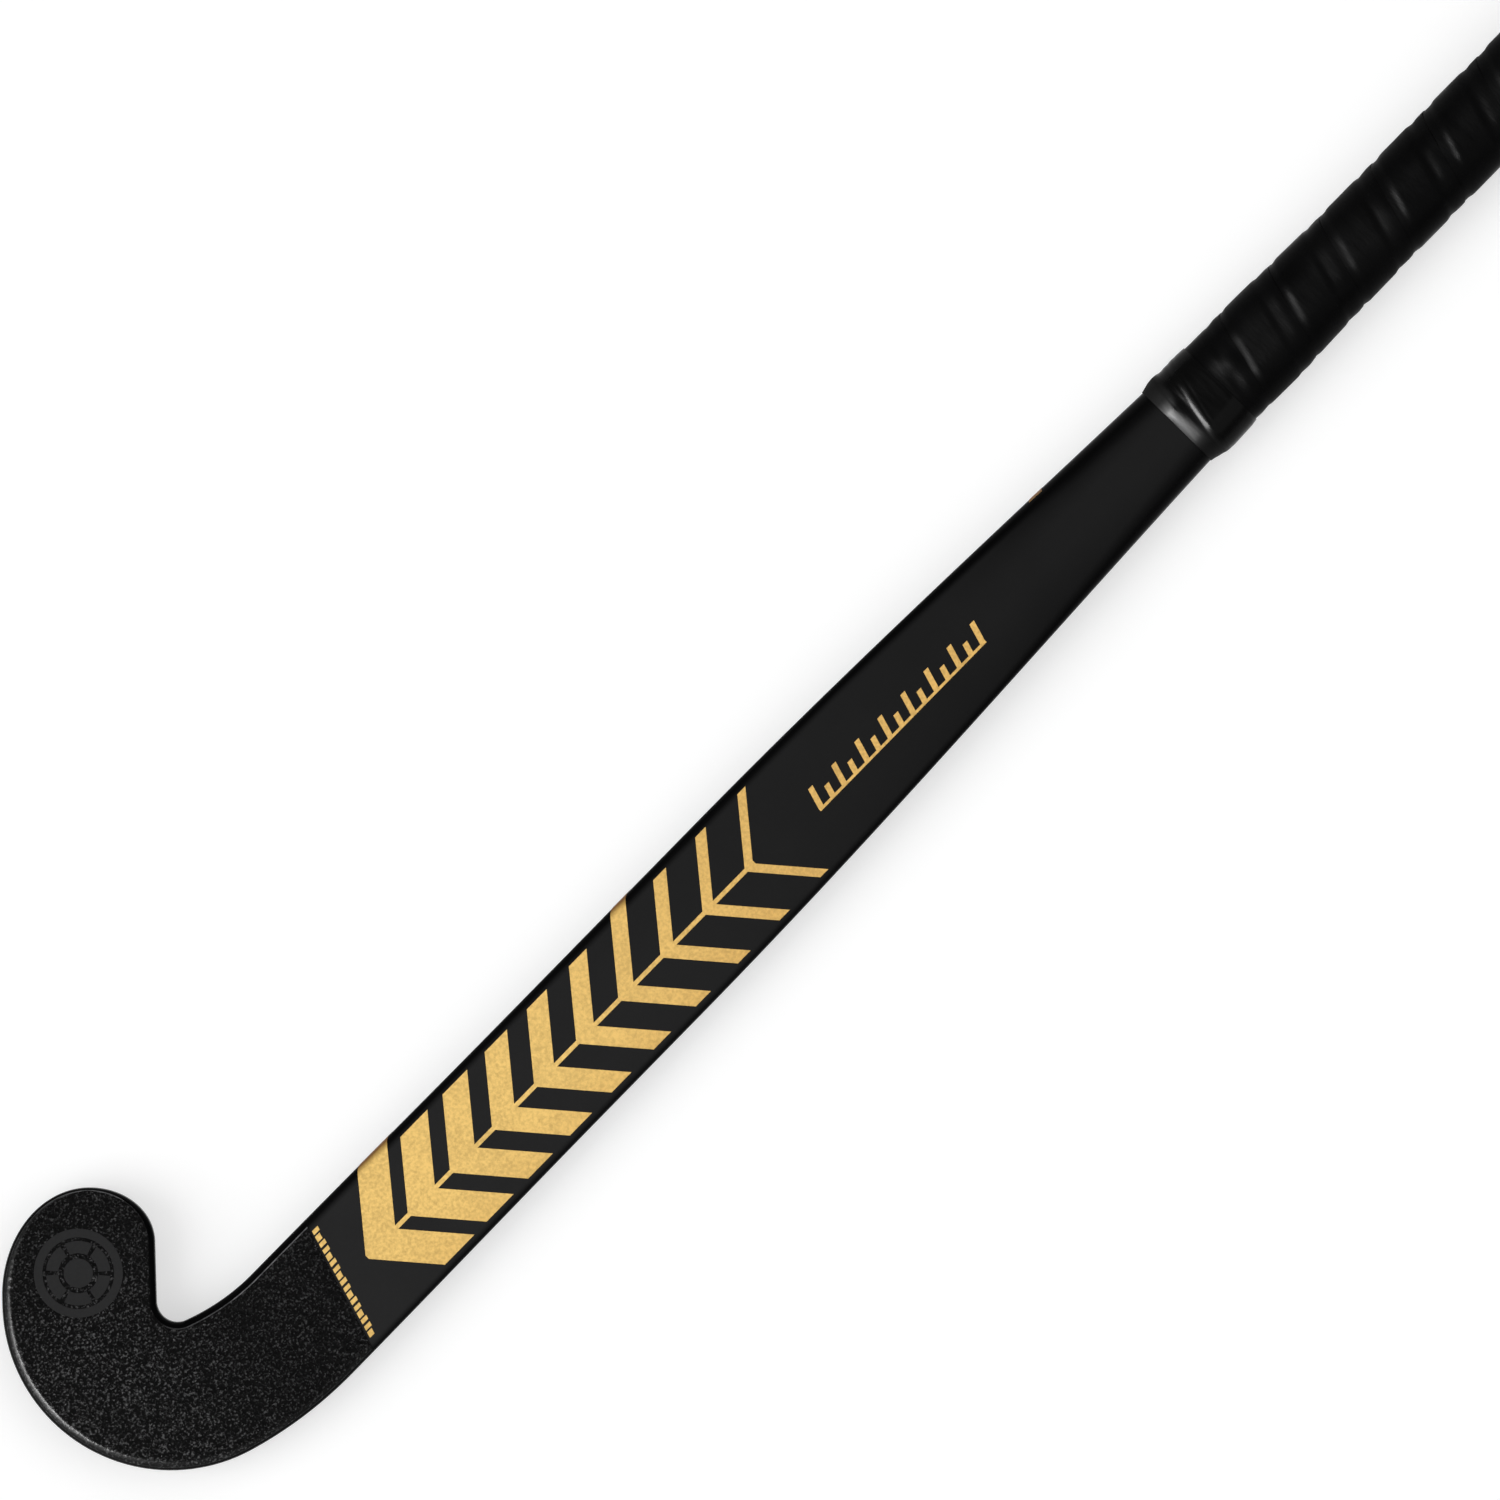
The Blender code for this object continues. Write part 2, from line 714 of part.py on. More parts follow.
def winding_ring(x, offset):
    """The handle's section in the order that the grip winds: over the face to the toe side."""
    points = list(reversed(ring(rung(x), -offset, (FACE_EDGE_STEPS, BACK_EDGE_STEPS))))
    return points[GRIP_START_STEPS:] + points[:GRIP_START_STEPS]


def winding_shares():
    """Share of one turn that the grip has run at each point of its section, from 0 to 1."""
    points = winding_ring(COLLAR_END, 0.0)
    run = [0.0]
    for start, end in zip(points, points[1:] + points[:1]):
        run.append(run[-1] + (end - start).length)
    return [length / run[-1] for length in run]


def make_grip_tape(root):
    """The spiral grip: plain inside, and outside a ridge where each turn laps the one before."""
    solid = Solid()
    end = shell_end()
    shares = winding_shares()
    columns = len(shares) - 1
    marks = ((0.0, 0.0), (GRIP_LAP_CREST * GRIP_LAP_WIDTH, GRIP_LAP_RISE), (GRIP_LAP_WIDTH, 0.0))
    spiral_start = COLLAR_END + FIT_GAP
    turns = int((end - spiral_start - GRIP_LAP_WIDTH) / GRIP_PITCH)

    def outside_point(x, column, rise):
        return winding_ring(x, grip_surface(x) + rise)[column % columns]

    spiral = []
    for turn in range(turns):
        for mark, rise in marks:
            row_start = spiral_start + turn * GRIP_PITCH + mark
            spiral.append([
                outside_point(row_start + GRIP_PITCH * share, column, rise)
                for column, share in enumerate(shares)
            ])
    for near, far in zip(spiral, spiral[1:]):
        for column in range(columns):
            solid.face((near[column], near[column + 1], far[column + 1], far[column]))
    plain_rings = [winding_ring(x, grip_surface(x)) for x in [GRIP_START] + collar_places()]
    solid.skin(plain_rings)
    low_ring = plain_rings[-1]
    high_ring = winding_ring(end, grip_surface(end))
    first, last = spiral[0], spiral[-1]
    for column in range(columns - 1):
        solid.face((low_ring[column], low_ring[column + 1], first[column + 1], first[column]))
    for column in range(1, columns):
        high_after = high_ring[(column + 1) % columns]
        solid.face((last[column], last[column + 1], high_after, high_ring[column]))
    start_seam = [row[0] for row in spiral[:len(marks) + 1]]
    solid.face([low_ring[-1], low_ring[0]] + start_seam + [first[columns - 1]])
    end_seam = [row[columns] for row in reversed(spiral[-len(marks):])]
    solid.face([last[0], last[1], high_ring[1], high_ring[0]] + end_seam)
    seat = stations(COLLAR_END, GRIP_SEAT_END, 0.5 * GRIP_SEAT_LENGTH)
    places = [GRIP_START] + seat + stations(GRIP_SEAT_END, end)[1:]
    inside = [winding_ring(x, grip_offset(x)) for x in places]
    solid.skin(inside)
    solid.skin([inside[0], plain_rings[0]])
    solid.skin([inside[-1], high_ring])
    solid.finish("grip_tape", RUBBER, 0.5, 0.0, root)


def make_finishing_tape(root):
    """The collar: it starts on the bare shaft and rolls over the end of the grip."""
    lip = GRIP_START - FIT_GAP
    places = [
        COLLAR_START,
        mix(COLLAR_START, lip, 0.3),
        mix(COLLAR_START, lip, 0.7),
        lip - FIT_GAP,
        lip,
    ] + collar_places()

    def inner(x):
        return FIT_GAP if x < lip - 0.5 * FIT_GAP else collar_offset(x)

    def outer(x):
        share = min(1.0, (x - COLLAR_START) / (COLLAR_PEAK - COLLAR_START))
        rolled = math.sqrt(max(0.0, 1.0 - (1.0 - share) ** 2))
        thickness = mix(COLLAR_THICKNESS, COLLAR_LIP_THICKNESS, ease(x, COLLAR_PEAK, COLLAR_END))
        return mix(FIT_GAP + COLLAR_LIP_THICKNESS, collar_offset(x) + thickness, rolled)

    solid = sleeve(places, inner, outer)
    solid.finish("finishing_tape", RUBBER, 0.3, 0.0, root)


def face_height(lift):
    """Height above the playing face, as a function of the place."""
    return lambda place: middle_height(place.x) + half_thickness(place.x) + lift


def film_end_x(y):
    """The slanted upper border of the film on the head's face."""
    return FILM_END + y * math.tan(FILM_END_SLANT)


def make_control_film(root):
    """The grained film on the head's playing face, inside a plain border."""
    solid = Solid()
    outer_y = FILM_INSET - NECK_HALF_WIDTH
    rows = [(Vector((film_end_x(outer_y), outer_y)), Vector((film_end_x(-outer_y), -outer_y)))]
    for outer, inner in [rung(HOOK_START)] + hook_rungs():
        rows.append((
            outer[0] - outer[1] * FILM_INSET,
            inner[0] - inner[1] * FILM_INSET,
        ))
    solid.sheet(tiles_between(rows), face_height(FIT_GAP), face_height(FIT_GAP + FILM_THICKNESS))
    solid.finish("control_film", CARBON, 0.7, 0.0, root, smooth=False)


def toe_mark_centre():
    return middle_line(hook_length() - TOE_MARK_BACK_FROM_TIP)[0]


def circle_outline(centre, radius):
    return [
        centre + radius * Vector((
            math.cos(2.0 * math.pi * step / ROUND_STEPS),
            math.sin(2.0 * math.pi * step / ROUND_STEPS),
        ))
        for step in range(ROUND_STEPS)
    ]


def make_toe_mark(root):
    """A plain smooth disc on the film at the toe."""
    solid = Solid()
    base = 2.0 * FIT_GAP + FILM_THICKNESS
    outline = circle_outline(toe_mark_centre(), TOE_MARK_RADIUS)
    solid.sheet([outline], face_height(base), face_height(base + FOIL_THICKNESS))
    solid.finish("toe_mark", CARBON, 0.6, 0.0, root, smooth=False)


def leaning_tile(start, end, low_y, high_y, slope):
    """A four-cornered tile from start to end, whose ends lean with the slope above low_y."""
    lean = (high_y - low_y) * slope
    return (
        Vector((start, low_y)),
        Vector((end, low_y)),
        Vector((end + lean, high_y)),
        Vector((start + lean, high_y)),
    )


def make_foil(name, tiles, root):
    """A gold transfer foil on the playing face."""
    solid = Solid()
    solid.sheet(tiles, face_height(FIT_GAP), face_height(FIT_GAP + FOIL_THICKNESS))
    solid.finish(name, GOLD, 0.35, 1.0, root, smooth=False)


def make_shaft_bars(root):
    """Gold bars that lean away from a middle stripe on both sides and thin out up the shaft."""
    slope = math.tan(BAR_SLANT)
    half = 0.5 * BAR_STRIPE_WIDTH
    tiles = []
    for index in range(BAR_COUNT):
        start = BAR_ZONE_START + index * BAR_PITCH
        end = start + mix(BAR_WIDEST, BAR_NARROWEST, index / max(1, BAR_COUNT - 1))
        tiles.append(leaning_tile(start, end, half, toe_half_width(start) - FOIL_EDGE_MARGIN, slope))
        tiles.append(leaning_tile(start, end, -half, FOIL_EDGE_MARGIN - outer_half_width(start), -slope))
        tiles.append(leaning_tile(start, end, -half, half, 0.0))
        if index < BAR_COUNT - 1:
            tiles.append(leaning_tile(end, start + BAR_PITCH, -half, half, 0.0))
    make_foil("shaft_bars", tiles, root)


def make_tick_row(root):
    """Small gold ticks that stand on a fine line up the middle of the shaft."""
    slope = math.tan(TICK_SLANT)
    foot = -0.5 * TICK_HEIGHT
    line_top = foot + TICK_LINE_WIDTH
    tiles = []
    for index in range(TICK_COUNT):
        start = TICK_ZONE_START + index * TICK_PITCH
        end = start + TICK_WIDTH
        tiles.append(leaning_tile(start, end, foot, line_top, 0.0))
        tiles.append(leaning_tile(start, end, line_top, foot + TICK_HEIGHT, slope))
        if index < TICK_COUNT - 1:
            tiles.append(leaning_tile(end, start + TICK_PITCH, foot, line_top, 0.0))
    make_foil("tick_row", tiles, root)


def make_border_line(root):
    """A fine gold line along the film's upper border."""
    half = 0.5 * BORDER_LINE_LENGTH
    start = film_end_x(-half) + BORDER_LINE_OFFSET
    slope = math.tan(FILM_END_SLANT)
    tile = leaning_tile(start, start + BORDER_LINE_WIDTH, -half, half, slope)
    make_foil("border_line", [tile], root)


def make_side_flash(root):
    """A short gold dash on the toe-side wall, where the shaft starts to narrow."""
    solid = Solid()
    rows = []
    for x in (SIDE_FLASH_START, SIDE_FLASH_START + SIDE_FLASH_LENGTH):
        near = toe_half_width(x) + FIT_GAP
        rows.append((Vector((x, near)), Vector((x, near + FOIL_THICKNESS))))
    half = 0.5 * SIDE_FLASH_HEIGHT

    def side_height(shift):
        return lambda place: middle_height(place.x) + side_middle(place.x) + shift

    solid.sheet(tiles_between(rows), side_height(-half), side_height(half))
    solid.finish("side_flash", GOLD, 0.35, 1.0, root, smooth=False)


def side_middle(x):
    """Height of the middle of the shaft's straight side wall, from the stick's middle."""
    face_radius, back_radius = edge_radii(x)
    return 0.5 * (back_radius - face_radius)


def seat_root(root):
    """Moves the whole stick so that its origin is the middle of its base."""
    bpy.context.view_layer.update()
    lowest = Vector((math.inf,) * 3)
    highest = Vector((-math.inf,) * 3)
    for piece in root.children:
        for vertex in piece.data.vertices:
            for axis in range(3):
                lowest[axis] = min(lowest[axis], vertex.co[axis])
                highest[axis] = max(highest[axis], vertex.co[axis])
    middle = 0.5 * (lowest + highest)
    root.location = (-middle.x, -middle.y, -lowest.z)


def build():
    for existing in list(bpy.data.objects):
        bpy.data.objects.remove(existing, do_unlink=True)
    root = bpy.data.objects.new("stick_root", None)
    bpy.context.collection.objects.link(root)
    make_laminate_shell(root)
    make_head_sock(root)
    make_head_core(root)
    make_strap("face_strap", 1, root)
    make_strap("back_strap", -1, root)
    make_chamber_tube("chamber_tube_toe_side", 1, root)
    make_chamber_tube("chamber_tube_outer_side", -1, root)
    make_stopper("chamber_stopper_toe_side", 1, root)
    make_stopper("chamber_stopper_outer_side", -1, root)
    web_start = CORE_END + FIT_GAP
    make_web("centre_web", web_start, WEB_END, CARBON, root)
    damper_end = STICK_LENGTH - DAMPER_END_FROM_BUTT
    make_web("damper_strip", WEB_END + FIT_GAP, damper_end, ELASTOMER, root)
    make_butt_plug(root)
    make_butt_cap(root)
    make_cushion_wrap(root)
    make_anchor_tape("anchor_tape_lower", CUSHION_START - FIT_GAP - ANCHOR_WIDTH, root)
    make_anchor_tape("anchor_tape_upper", cushion_end() + FIT_GAP, root)
    make_grip_tape(root)
    make_finishing_tape(root)
    make_control_film(root)
    make_toe_mark(root)
    make_shaft_bars(root)
    make_tick_row(root)
    make_border_line(root)
    make_side_flash(root)
    seat_root(root)


build()
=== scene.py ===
"""Looks of a field hockey goalkeeper's stick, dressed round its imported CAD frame.

The stick lies face up on a white floor. +X runs up the shaft to the butt, +Y points to the toe and +Z is the
way that the playing face looks. All lengths are in metres. AXIS_Y is the shaft's axis in the row frame.
"""

from __future__ import annotations

import logging
import math
from dataclasses import dataclass, field
from enum import Enum
from typing import Callable, Iterable, Sequence, Union

import bmesh
import bpy
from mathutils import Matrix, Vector, noise

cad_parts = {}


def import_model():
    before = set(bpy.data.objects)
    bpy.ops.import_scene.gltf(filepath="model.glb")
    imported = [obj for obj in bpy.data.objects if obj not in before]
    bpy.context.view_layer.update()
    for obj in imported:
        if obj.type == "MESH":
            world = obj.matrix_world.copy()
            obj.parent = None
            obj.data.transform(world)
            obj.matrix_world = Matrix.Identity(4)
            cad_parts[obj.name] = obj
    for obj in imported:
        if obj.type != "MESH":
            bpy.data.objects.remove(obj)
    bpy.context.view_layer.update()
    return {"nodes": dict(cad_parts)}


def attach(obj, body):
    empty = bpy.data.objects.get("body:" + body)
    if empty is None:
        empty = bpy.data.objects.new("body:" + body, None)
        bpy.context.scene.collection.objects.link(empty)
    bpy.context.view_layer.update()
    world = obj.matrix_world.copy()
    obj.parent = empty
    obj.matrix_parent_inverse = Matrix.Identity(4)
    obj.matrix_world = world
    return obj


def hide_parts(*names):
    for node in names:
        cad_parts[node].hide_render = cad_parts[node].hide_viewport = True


LOG = logging.getLogger("stick_scene")
BODY = "root"
AXIS_Y = -0.0351
QUARTER = 0.5 * math.pi
TURN = 2.0 * math.pi

Piece = bpy.types.Object
Socket = bpy.types.NodeSocket
Feed = Union[Socket, float, Sequence[float]]
Edge = tuple[Vector, Vector]
Pair = tuple[float, float]
Triple = tuple[float, float, float]
Ramp = tuple[float, float, float, float]

NOISE_RANGE: Pair = (0.3, 0.7)


class Slot(Enum):
    """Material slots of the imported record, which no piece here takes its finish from."""

    LAMINATE = "laminate"
    FILM = "grained_film"
    TOE_FOIL = "toe_foil"
    GOLD = "gold_foil"
    GRIP = "grip"
    COLLAR = "collar"
    CAP = "cap"


class Side(Enum):
    """The two long sides of the stick, with the way that each looks along Y."""

    OUTER = -1
    TOE = 1


def ease(value: float, low: float, high: float) -> float:
    """Smooth rise from 0 at low to 1 at high, and flat outside them."""
    share = min(max((value - low) / (high - low), 0.0), 1.0)
    return share * share * (3.0 - 2.0 * share)


def mix(start: float, end: float, share: float) -> float:
    """The value at a share of the way from start to end."""
    return start + (end - start) * share


def between(start: Pair, end: Pair, share: float) -> Pair:
    """The pair at a share of the way from start to end."""
    return mix(start[0], end[0], share), mix(start[1], end[1], share)


def spaced(start: float, end: float, step: float) -> list[float]:
    """Values from start to end, both included, evenly spaced by about the step."""
    count = max(1, round(abs(end - start) / step))
    return [mix(start, end, index / count) for index in range(count + 1)]


def circle(radius: float, count: int) -> list[Pair]:
    """Points evenly spaced round a circle."""
    angles = [TURN * index / count for index in range(count)]
    return [(radius * math.cos(angle), radius * math.sin(angle)) for angle in angles]


def scaled(colour: Triple, share: float) -> Triple:
    """The colour times a share."""
    return tuple(share * value for value in colour)


def wander(x: float, turns: float, waves: Pair, finer: float = 1.0) -> float:
    """Smooth noise over the handle.

    Args:
        x: Place up the shaft.
        turns: Turns round the handle.
        waves: Length of a wave up the shaft, and radius of the circle in the noise that goes round once.
        finer: How many times finer the waves are.

    Returns:
        The noise, about -1 to 1.
    """
    angle = TURN * turns
    spot = Vector((x / waves[0], waves[1] * math.cos(angle), waves[1] * math.sin(angle)))
    return noise.noise(finer * spot)


# ---------------------------------------------------------------- form of the stick


@dataclass(frozen=True)
class StickForm:
    """Outline, thickness and bow of the stick, measured from the tip of its base along the shaft's axis."""

    length: float = 0.927
    seat: Triple = (-0.4634981, -0.0350858, 0.0105887)
    hook_start: float = 0.0862
    heel_radius: float = 0.113
    heel_angle: float = math.radians(19)
    throat_radius: float = 0.0334
    throat_angle: float = math.radians(115)
    toe_reach: float = 0.0409
    neck_half: float = 0.0249
    base_half: float = 0.0272
    base_widening: float = 0.098
    toe_outer_round: float = 0.0385
    toe_inner_round: float = 0.0195
    toe_apex_shift: float = 0.0039
    shaft_half: float = 0.0243
    shaft_even_from: float = 0.215
    handle_half: float = 0.0139
    outer_taper: Pair = (0.262, 0.630)
    toe_taper: Pair = (0.310, 0.680)
    butt_flare: float = 0.0012
    butt_flare_length: float = 0.045
    head_thickness: float = 0.0210
    handle_thickness: float = 0.0262
    thickening: Pair = (0.300, 0.640)
    face_edge: float = 0.0030
    heel_edge: float = 0.0039
    heel_edge_change: Pair = (0.010, 0.045)
    back_edge: float = 0.0090
    handle_edge: float = 0.0122
    edge_blend: Pair = (0.400, 0.600)
    bow_start: float = 0.115
    collar_peak: float = 0.5350
    collar_peak_rise: float = 0.00195
    cap_thickness: float = 0.0040
    cap_gap: float = 0.0003
    wall: float = 0.0030

    def to_frame(self, point: Vector) -> Vector:
        """The point moved from the stick's own place to the row frame."""
        return point + Vector(self.seat)

    def hook_length(self) -> float:
        """Length of the hook's middle line, from the shaft to the tip of the toe."""
        return self.heel_radius * self.heel_angle + self.throat_radius * self.throat_angle + self.toe_reach

    def heel_line(self, turned: float) -> Vector:
        """The point of the hook's middle line where the heel bend has turned so far."""
        run, rise = self.heel_radius * math.sin(turned), self.heel_radius * (1.0 - math.cos(turned))
        return Vector((self.hook_start - run, rise))

    def middle_line(self, along: float) -> tuple[Vector, float]:
        """The hook's middle line.

        Args:
            along: Distance along it from the shaft.

        Returns:
            The point and the angle turned so far.
        """
        heel_length = self.heel_radius * self.heel_angle
        bend_length = self.throat_radius * self.throat_angle
        if along <= heel_length:
            turned = along / self.heel_radius
            return self.heel_line(turned), turned
        turned = self.heel_angle + min(along - heel_length, bend_length) / self.throat_radius
        start = Vector((math.sin(self.heel_angle), math.cos(self.heel_angle)))
        now = Vector((math.sin(turned), math.cos(turned)))
        past = max(0.0, along - heel_length - bend_length)
        ahead = Vector((-math.cos(turned), math.sin(turned)))
        return self.heel_line(self.heel_angle) + self.throat_radius * (start - now) + past * ahead, turned

    def hook_sides(self, along: float) -> tuple[Vector, Vector]:
        """The hook's two sides.

        Args:
            along: Distance along its middle line from the shaft.

        Returns:
            The outer point and the throat-side point.
        """
        point, turned = self.middle_line(along)
        outward = Vector((-math.sin(turned), -math.cos(turned)))
        half = mix(self.neck_half, self.base_half, ease(along, 0.0, self.base_widening))
        reaches = []
        for apex, rounding in (
            (-self.toe_apex_shift, self.toe_outer_round),
            (self.toe_apex_shift, self.toe_inner_round),
        ):
            share = max(0.0, 1.0 - (self.hook_length() - along) / rounding)
            reaches.append(apex + (half - apex) * math.sqrt(max(0.0, 1.0 - share * share)))
        return point + outward * reaches[0], point - outward * reaches[1]

    def half_width(self, x: float, side: Side) -> float:
        """Distance of a long edge from the shaft's axis.

        Args:
            x: Place up the shaft.
            side: The edge's side.

        Returns:
            The distance.
        """
        taper = self.toe_taper if side is Side.TOE else self.outer_taper
        shaft = mix(self.neck_half, self.shaft_half, ease(x, self.hook_start, self.shaft_even_from))
        return mix(shaft, self.handle_half, ease(x, *taper)) + self.flare(x)

    def flare(self, x: float) -> float:
        """How much the butt swells at x."""
        return self.butt_flare * ease(x, self.length - self.butt_flare_length, self.length)

    def half_thickness(self, x: float) -> float:
        """Half of the stick's thickness at x."""
        thickness = mix(self.head_thickness, self.handle_thickness, ease(x, *self.thickening))
        return 0.5 * thickness + self.flare(x)

    def middle_height(self, x: float) -> float:
        """Height of the stick's middle.

        Args:
            x: Place up the shaft.

        Returns:
            The height over the middle of the head.
        """
        run = max(0.0, x - self.bow_start) / (self.collar_peak - self.bow_start)
        rise = self.half_thickness(self.collar_peak) + self.collar_peak_rise - self.half_thickness(0.0)
        return rise * run * run

    def edge_radii(self, x: float) -> Pair:
        """Radii of the face's edge and of the back's edge at x."""
        head = mix(self.heel_edge, self.face_edge, ease(x, *self.heel_edge_change)), self.back_edge
        return between(head, (self.handle_edge, self.handle_edge), ease(x, *self.edge_blend))

    def shell_end(self) -> float:
        """Where the laminate and the grip stop, under the cap."""
        return self.length - self.cap_thickness - self.cap_gap

    def face_height(self, place: Vector, inset: float | None = None, edge_x: float | None = None) -> float:
        """Height of the playing face.

        Args:
            place: Where it is asked, in the face's plane.
            inset: Distance inside the outline, or None on the flat.
            edge_x: Place of the nearest edge up the shaft, or None for the place's own.

        Returns:
            The height, lower where the edge rounds off.
        """
        top = self.middle_height(place.x) + self.half_thickness(place.x)
        radius = self.edge_radii(place.x if edge_x is None else edge_x)[0]
        if inset is None or inset >= radius:
            return top
        return top - radius + math.sqrt(max(0.0, radius**2 - (radius - inset) ** 2))


@dataclass(frozen=True)
class Ladder:
    """Rungs that the head and shaft are lofted over: pairs of edges, each with its outward direction."""

    form: StickForm
    shaft_step: float = 0.0050
    hook_steps: int = 84
    toe_steps: int = 22
    probe: float = 0.0002

    def shaft(self, start: float, end: float, step: float | None = None) -> list[tuple[Edge, Edge]]:
        """Rungs of the shaft.

        Args:
            start: Place of the first rung.
            end: Place of the last one.
            step: Distance between them, or None for the ladder's own.

        Returns:
            The rungs.
        """
        rungs = []
        for x in spaced(start, end, step or self.shaft_step):
            outer = Vector((x, -self.form.half_width(x, Side.OUTER)))
            inner = Vector((x, self.form.half_width(x, Side.TOE)))
            rungs.append(((outer, Vector((0.0, -1.0))), (inner, Vector((0.0, 1.0)))))
        return rungs

    def hook(self) -> list[tuple[Edge, Edge]]:
        """Rungs of the hook.

        Returns:
            The rungs, from the shaft to the tip of the toe.
        """
        form = self.form
        total = form.hook_length()
        round_start = total - min(form.toe_inner_round, form.toe_outer_round)
        places = [round_start * step / self.hook_steps for step in range(1, self.hook_steps + 1)]
        for step in range(1, self.toe_steps):
            places.append(mix(round_start, total, math.sin(QUARTER * step / self.toe_steps)))
        rungs = []
        for place in places:
            outer, inner = form.hook_sides(place)
            before = form.hook_sides(place - self.probe)
            after = form.hook_sides(min(place + self.probe, total))
            outer_way = (after[0] - before[0]).normalized()
            inner_way = (after[1] - before[1]).normalized()
            rungs.append((
                (outer, Vector((-outer_way.y, outer_way.x))),
                (inner, Vector((inner_way.y, -inner_way.x))),
            ))
        tip, turned = form.middle_line(total)
        outward = Vector((-math.sin(turned), -math.cos(turned)))
        apex = (tip - outward * form.toe_apex_shift, Vector((-math.cos(turned), math.sin(turned))))
        return [*rungs, (apex, apex)]


@dataclass(frozen=True)
class Section:
    """The handle's rounded section at one place up the shaft, walked from the middle of the back."""

    form: StickForm
    x: float

    def at(self, share: float, offset: float = 0.0) -> Vector:
        """A point round the section.

        Args:
            share: Share of the way round, up the outer side, over the face and down the toe side.
            offset: Distance out from the laminate.

        Returns:
            The point in the stick's own place.
        """
        form, x = self.form, self.x
        high = form.half_thickness(x)
        face, back = form.edge_radii(x)
        outer, toe = form.half_width(x, Side.OUTER), form.half_width(x, Side.TOE)
        steps = (
            (outer - back, None, (0.0, -high), (-1.0, 0.0)),
            (back * QUARTER, back, (back - outer, back - high), (0.0, -1.0)),
            (2.0 * high - back - face, None, (-outer, back - high), (0.0, 1.0)),
            (face * QUARTER, face, (face - outer, high - face), (-1.0, 0.0)),
            (outer + toe - 2.0 * face, None, (face - outer, high), (1.0, 0.0)),
            (face * QUARTER, face, (toe - face, high - face), (0.0, 1.0)),
            (2.0 * high - back - face, None, (toe, high - face), (0.0, -1.0)),
            (back * QUARTER, back, (toe - back, back - high), (1.0, 0.0)),
            (toe - back, None, (toe - back, -high), (-1.0, 0.0)),
        )
        left = (share % 1.0) * sum(step[0] for step in steps)
        for length, radius, start, way in steps[:-1]:
            if left <= length:
                break
            left -= length
        else:
            _, radius, start, way = steps[-1]
        if radius is None:
            y, z = start[0] + way[0] * left, start[1] + way[1] * left
            out = (-way[1], way[0])
        else:
            turn = left / radius
            out = (
                way[0] * math.cos(turn) + way[1] * math.sin(turn),
                way[1] * math.cos(turn) - way[0] * math.sin(turn),
            )
            y, z = start[0] + out[0] * radius, start[1] + out[1] * radius
        return Vector((x, y + out[0] * offset, form.middle_height(x) + z + out[1] * offset))


# ---------------------------------------------------------------- meshes


class Draft:
    """A mesh under construction, in the stick's own place."""

    def __init__(self, form: StickForm) -> None:
        """Starts an empty mesh.

        Args:
            form: Form of the stick that it belongs to.
        """
        self.form = form
        self.points: list[Vector] = []
        self.faces: list[tuple[int, ...]] = []

    def row(self, points: Iterable[Vector]) -> range:
        """Adds points.

        Args:
            points: The points.

        Returns:
            Their numbers.
        """
        start = len(self.points)
        self.points.extend(points)
        return range(start, len(self.points))

    def strip(self, near: Sequence[int], far: Sequence[int], closed: bool = False) -> None:
        """Joins two rows with a band of faces.

        Args:
            near: Numbers of one row's points.
            far: Numbers of the other's, as many.
            closed: Whether the band closes on itself.
        """
        count = len(near)
        for index in range(count if closed else count - 1):
            after = (index + 1) % count
            self.faces.append((near[index], near[after], far[after], far[index]))

    def skin(self, rows: Sequence[Sequence[int]], closed: bool = False) -> None:
        """Joins each row to the next."""
        for near, far in zip(rows, rows[1:]):
            self.strip(near, far, closed)

    def face(self, numbers: Sequence[int]) -> None:
        """Adds one face."""
        self.faces.append(tuple(numbers))

    def tube(self, rows: Sequence[Sequence[int]]) -> None:
        """Adds a tube with shut ends.

        Args:
            rows: Numbers of the points of its closed rows.
        """
        self.skin(rows, closed=True)
        self.face(rows[0])
        self.face(rows[-1])

    def plate(self, low: Sequence[Sequence[Vector]], high: Sequence[Sequence[Vector]]) -> None:
        """Adds a closed plate.

        Args:
            low: Rows of points of its underside.
            high: Rows of points of its top, as many and as long as those of the underside.
        """
        under = [self.row(points) for points in low]
        over = [self.row(points) for points in high]
        self.skin(under)
        self.skin(over)
        for end in (0, -1):
            self.strip(under[end], over[end])
        for end in (0, -1):
            self.strip([line[end] for line in under], [line[end] for line in over])

    def make(self, name: str, smooth: float = math.radians(35), weld: float = 1e-7) -> Piece:
        """Makes the object.

        Args:
            name: Name of the piece.
            smooth: Largest angle between faces that are shaded as one surface.
            weld: Distance within which points become one.

        Returns:
            The object, in the row frame and with its faces pointing out.
        """
        data = bpy.data.meshes.new(name)
        data.from_pydata([self.form.to_frame(point) for point in self.points], [], self.faces)
        mesh = bmesh.new()
        mesh.from_mesh(data)
        bmesh.ops.remove_doubles(mesh, verts=mesh.verts, dist=weld)
        bmesh.ops.dissolve_degenerate(mesh, edges=mesh.edges, dist=weld)
        bmesh.ops.recalc_face_normals(mesh, faces=mesh.faces)
        mesh.to_mesh(data)
        mesh.free()
        data.shade_smooth()
        data.set_sharp_from_angle(angle=smooth)
        piece = bpy.data.objects.new(name, data)
        bpy.context.scene.collection.objects.link(piece)
        return piece


# ---------------------------------------------------------------- finishes


@dataclass(frozen=True)
class Grain:
    """Cloudy noise: width of one cloud, number and weight of its finer layers, and scale along each axis."""

    size: float
    detail: float = 2.0
    weight: float = 0.5
    scale: Triple = (1.0, 1.0, 1.0)


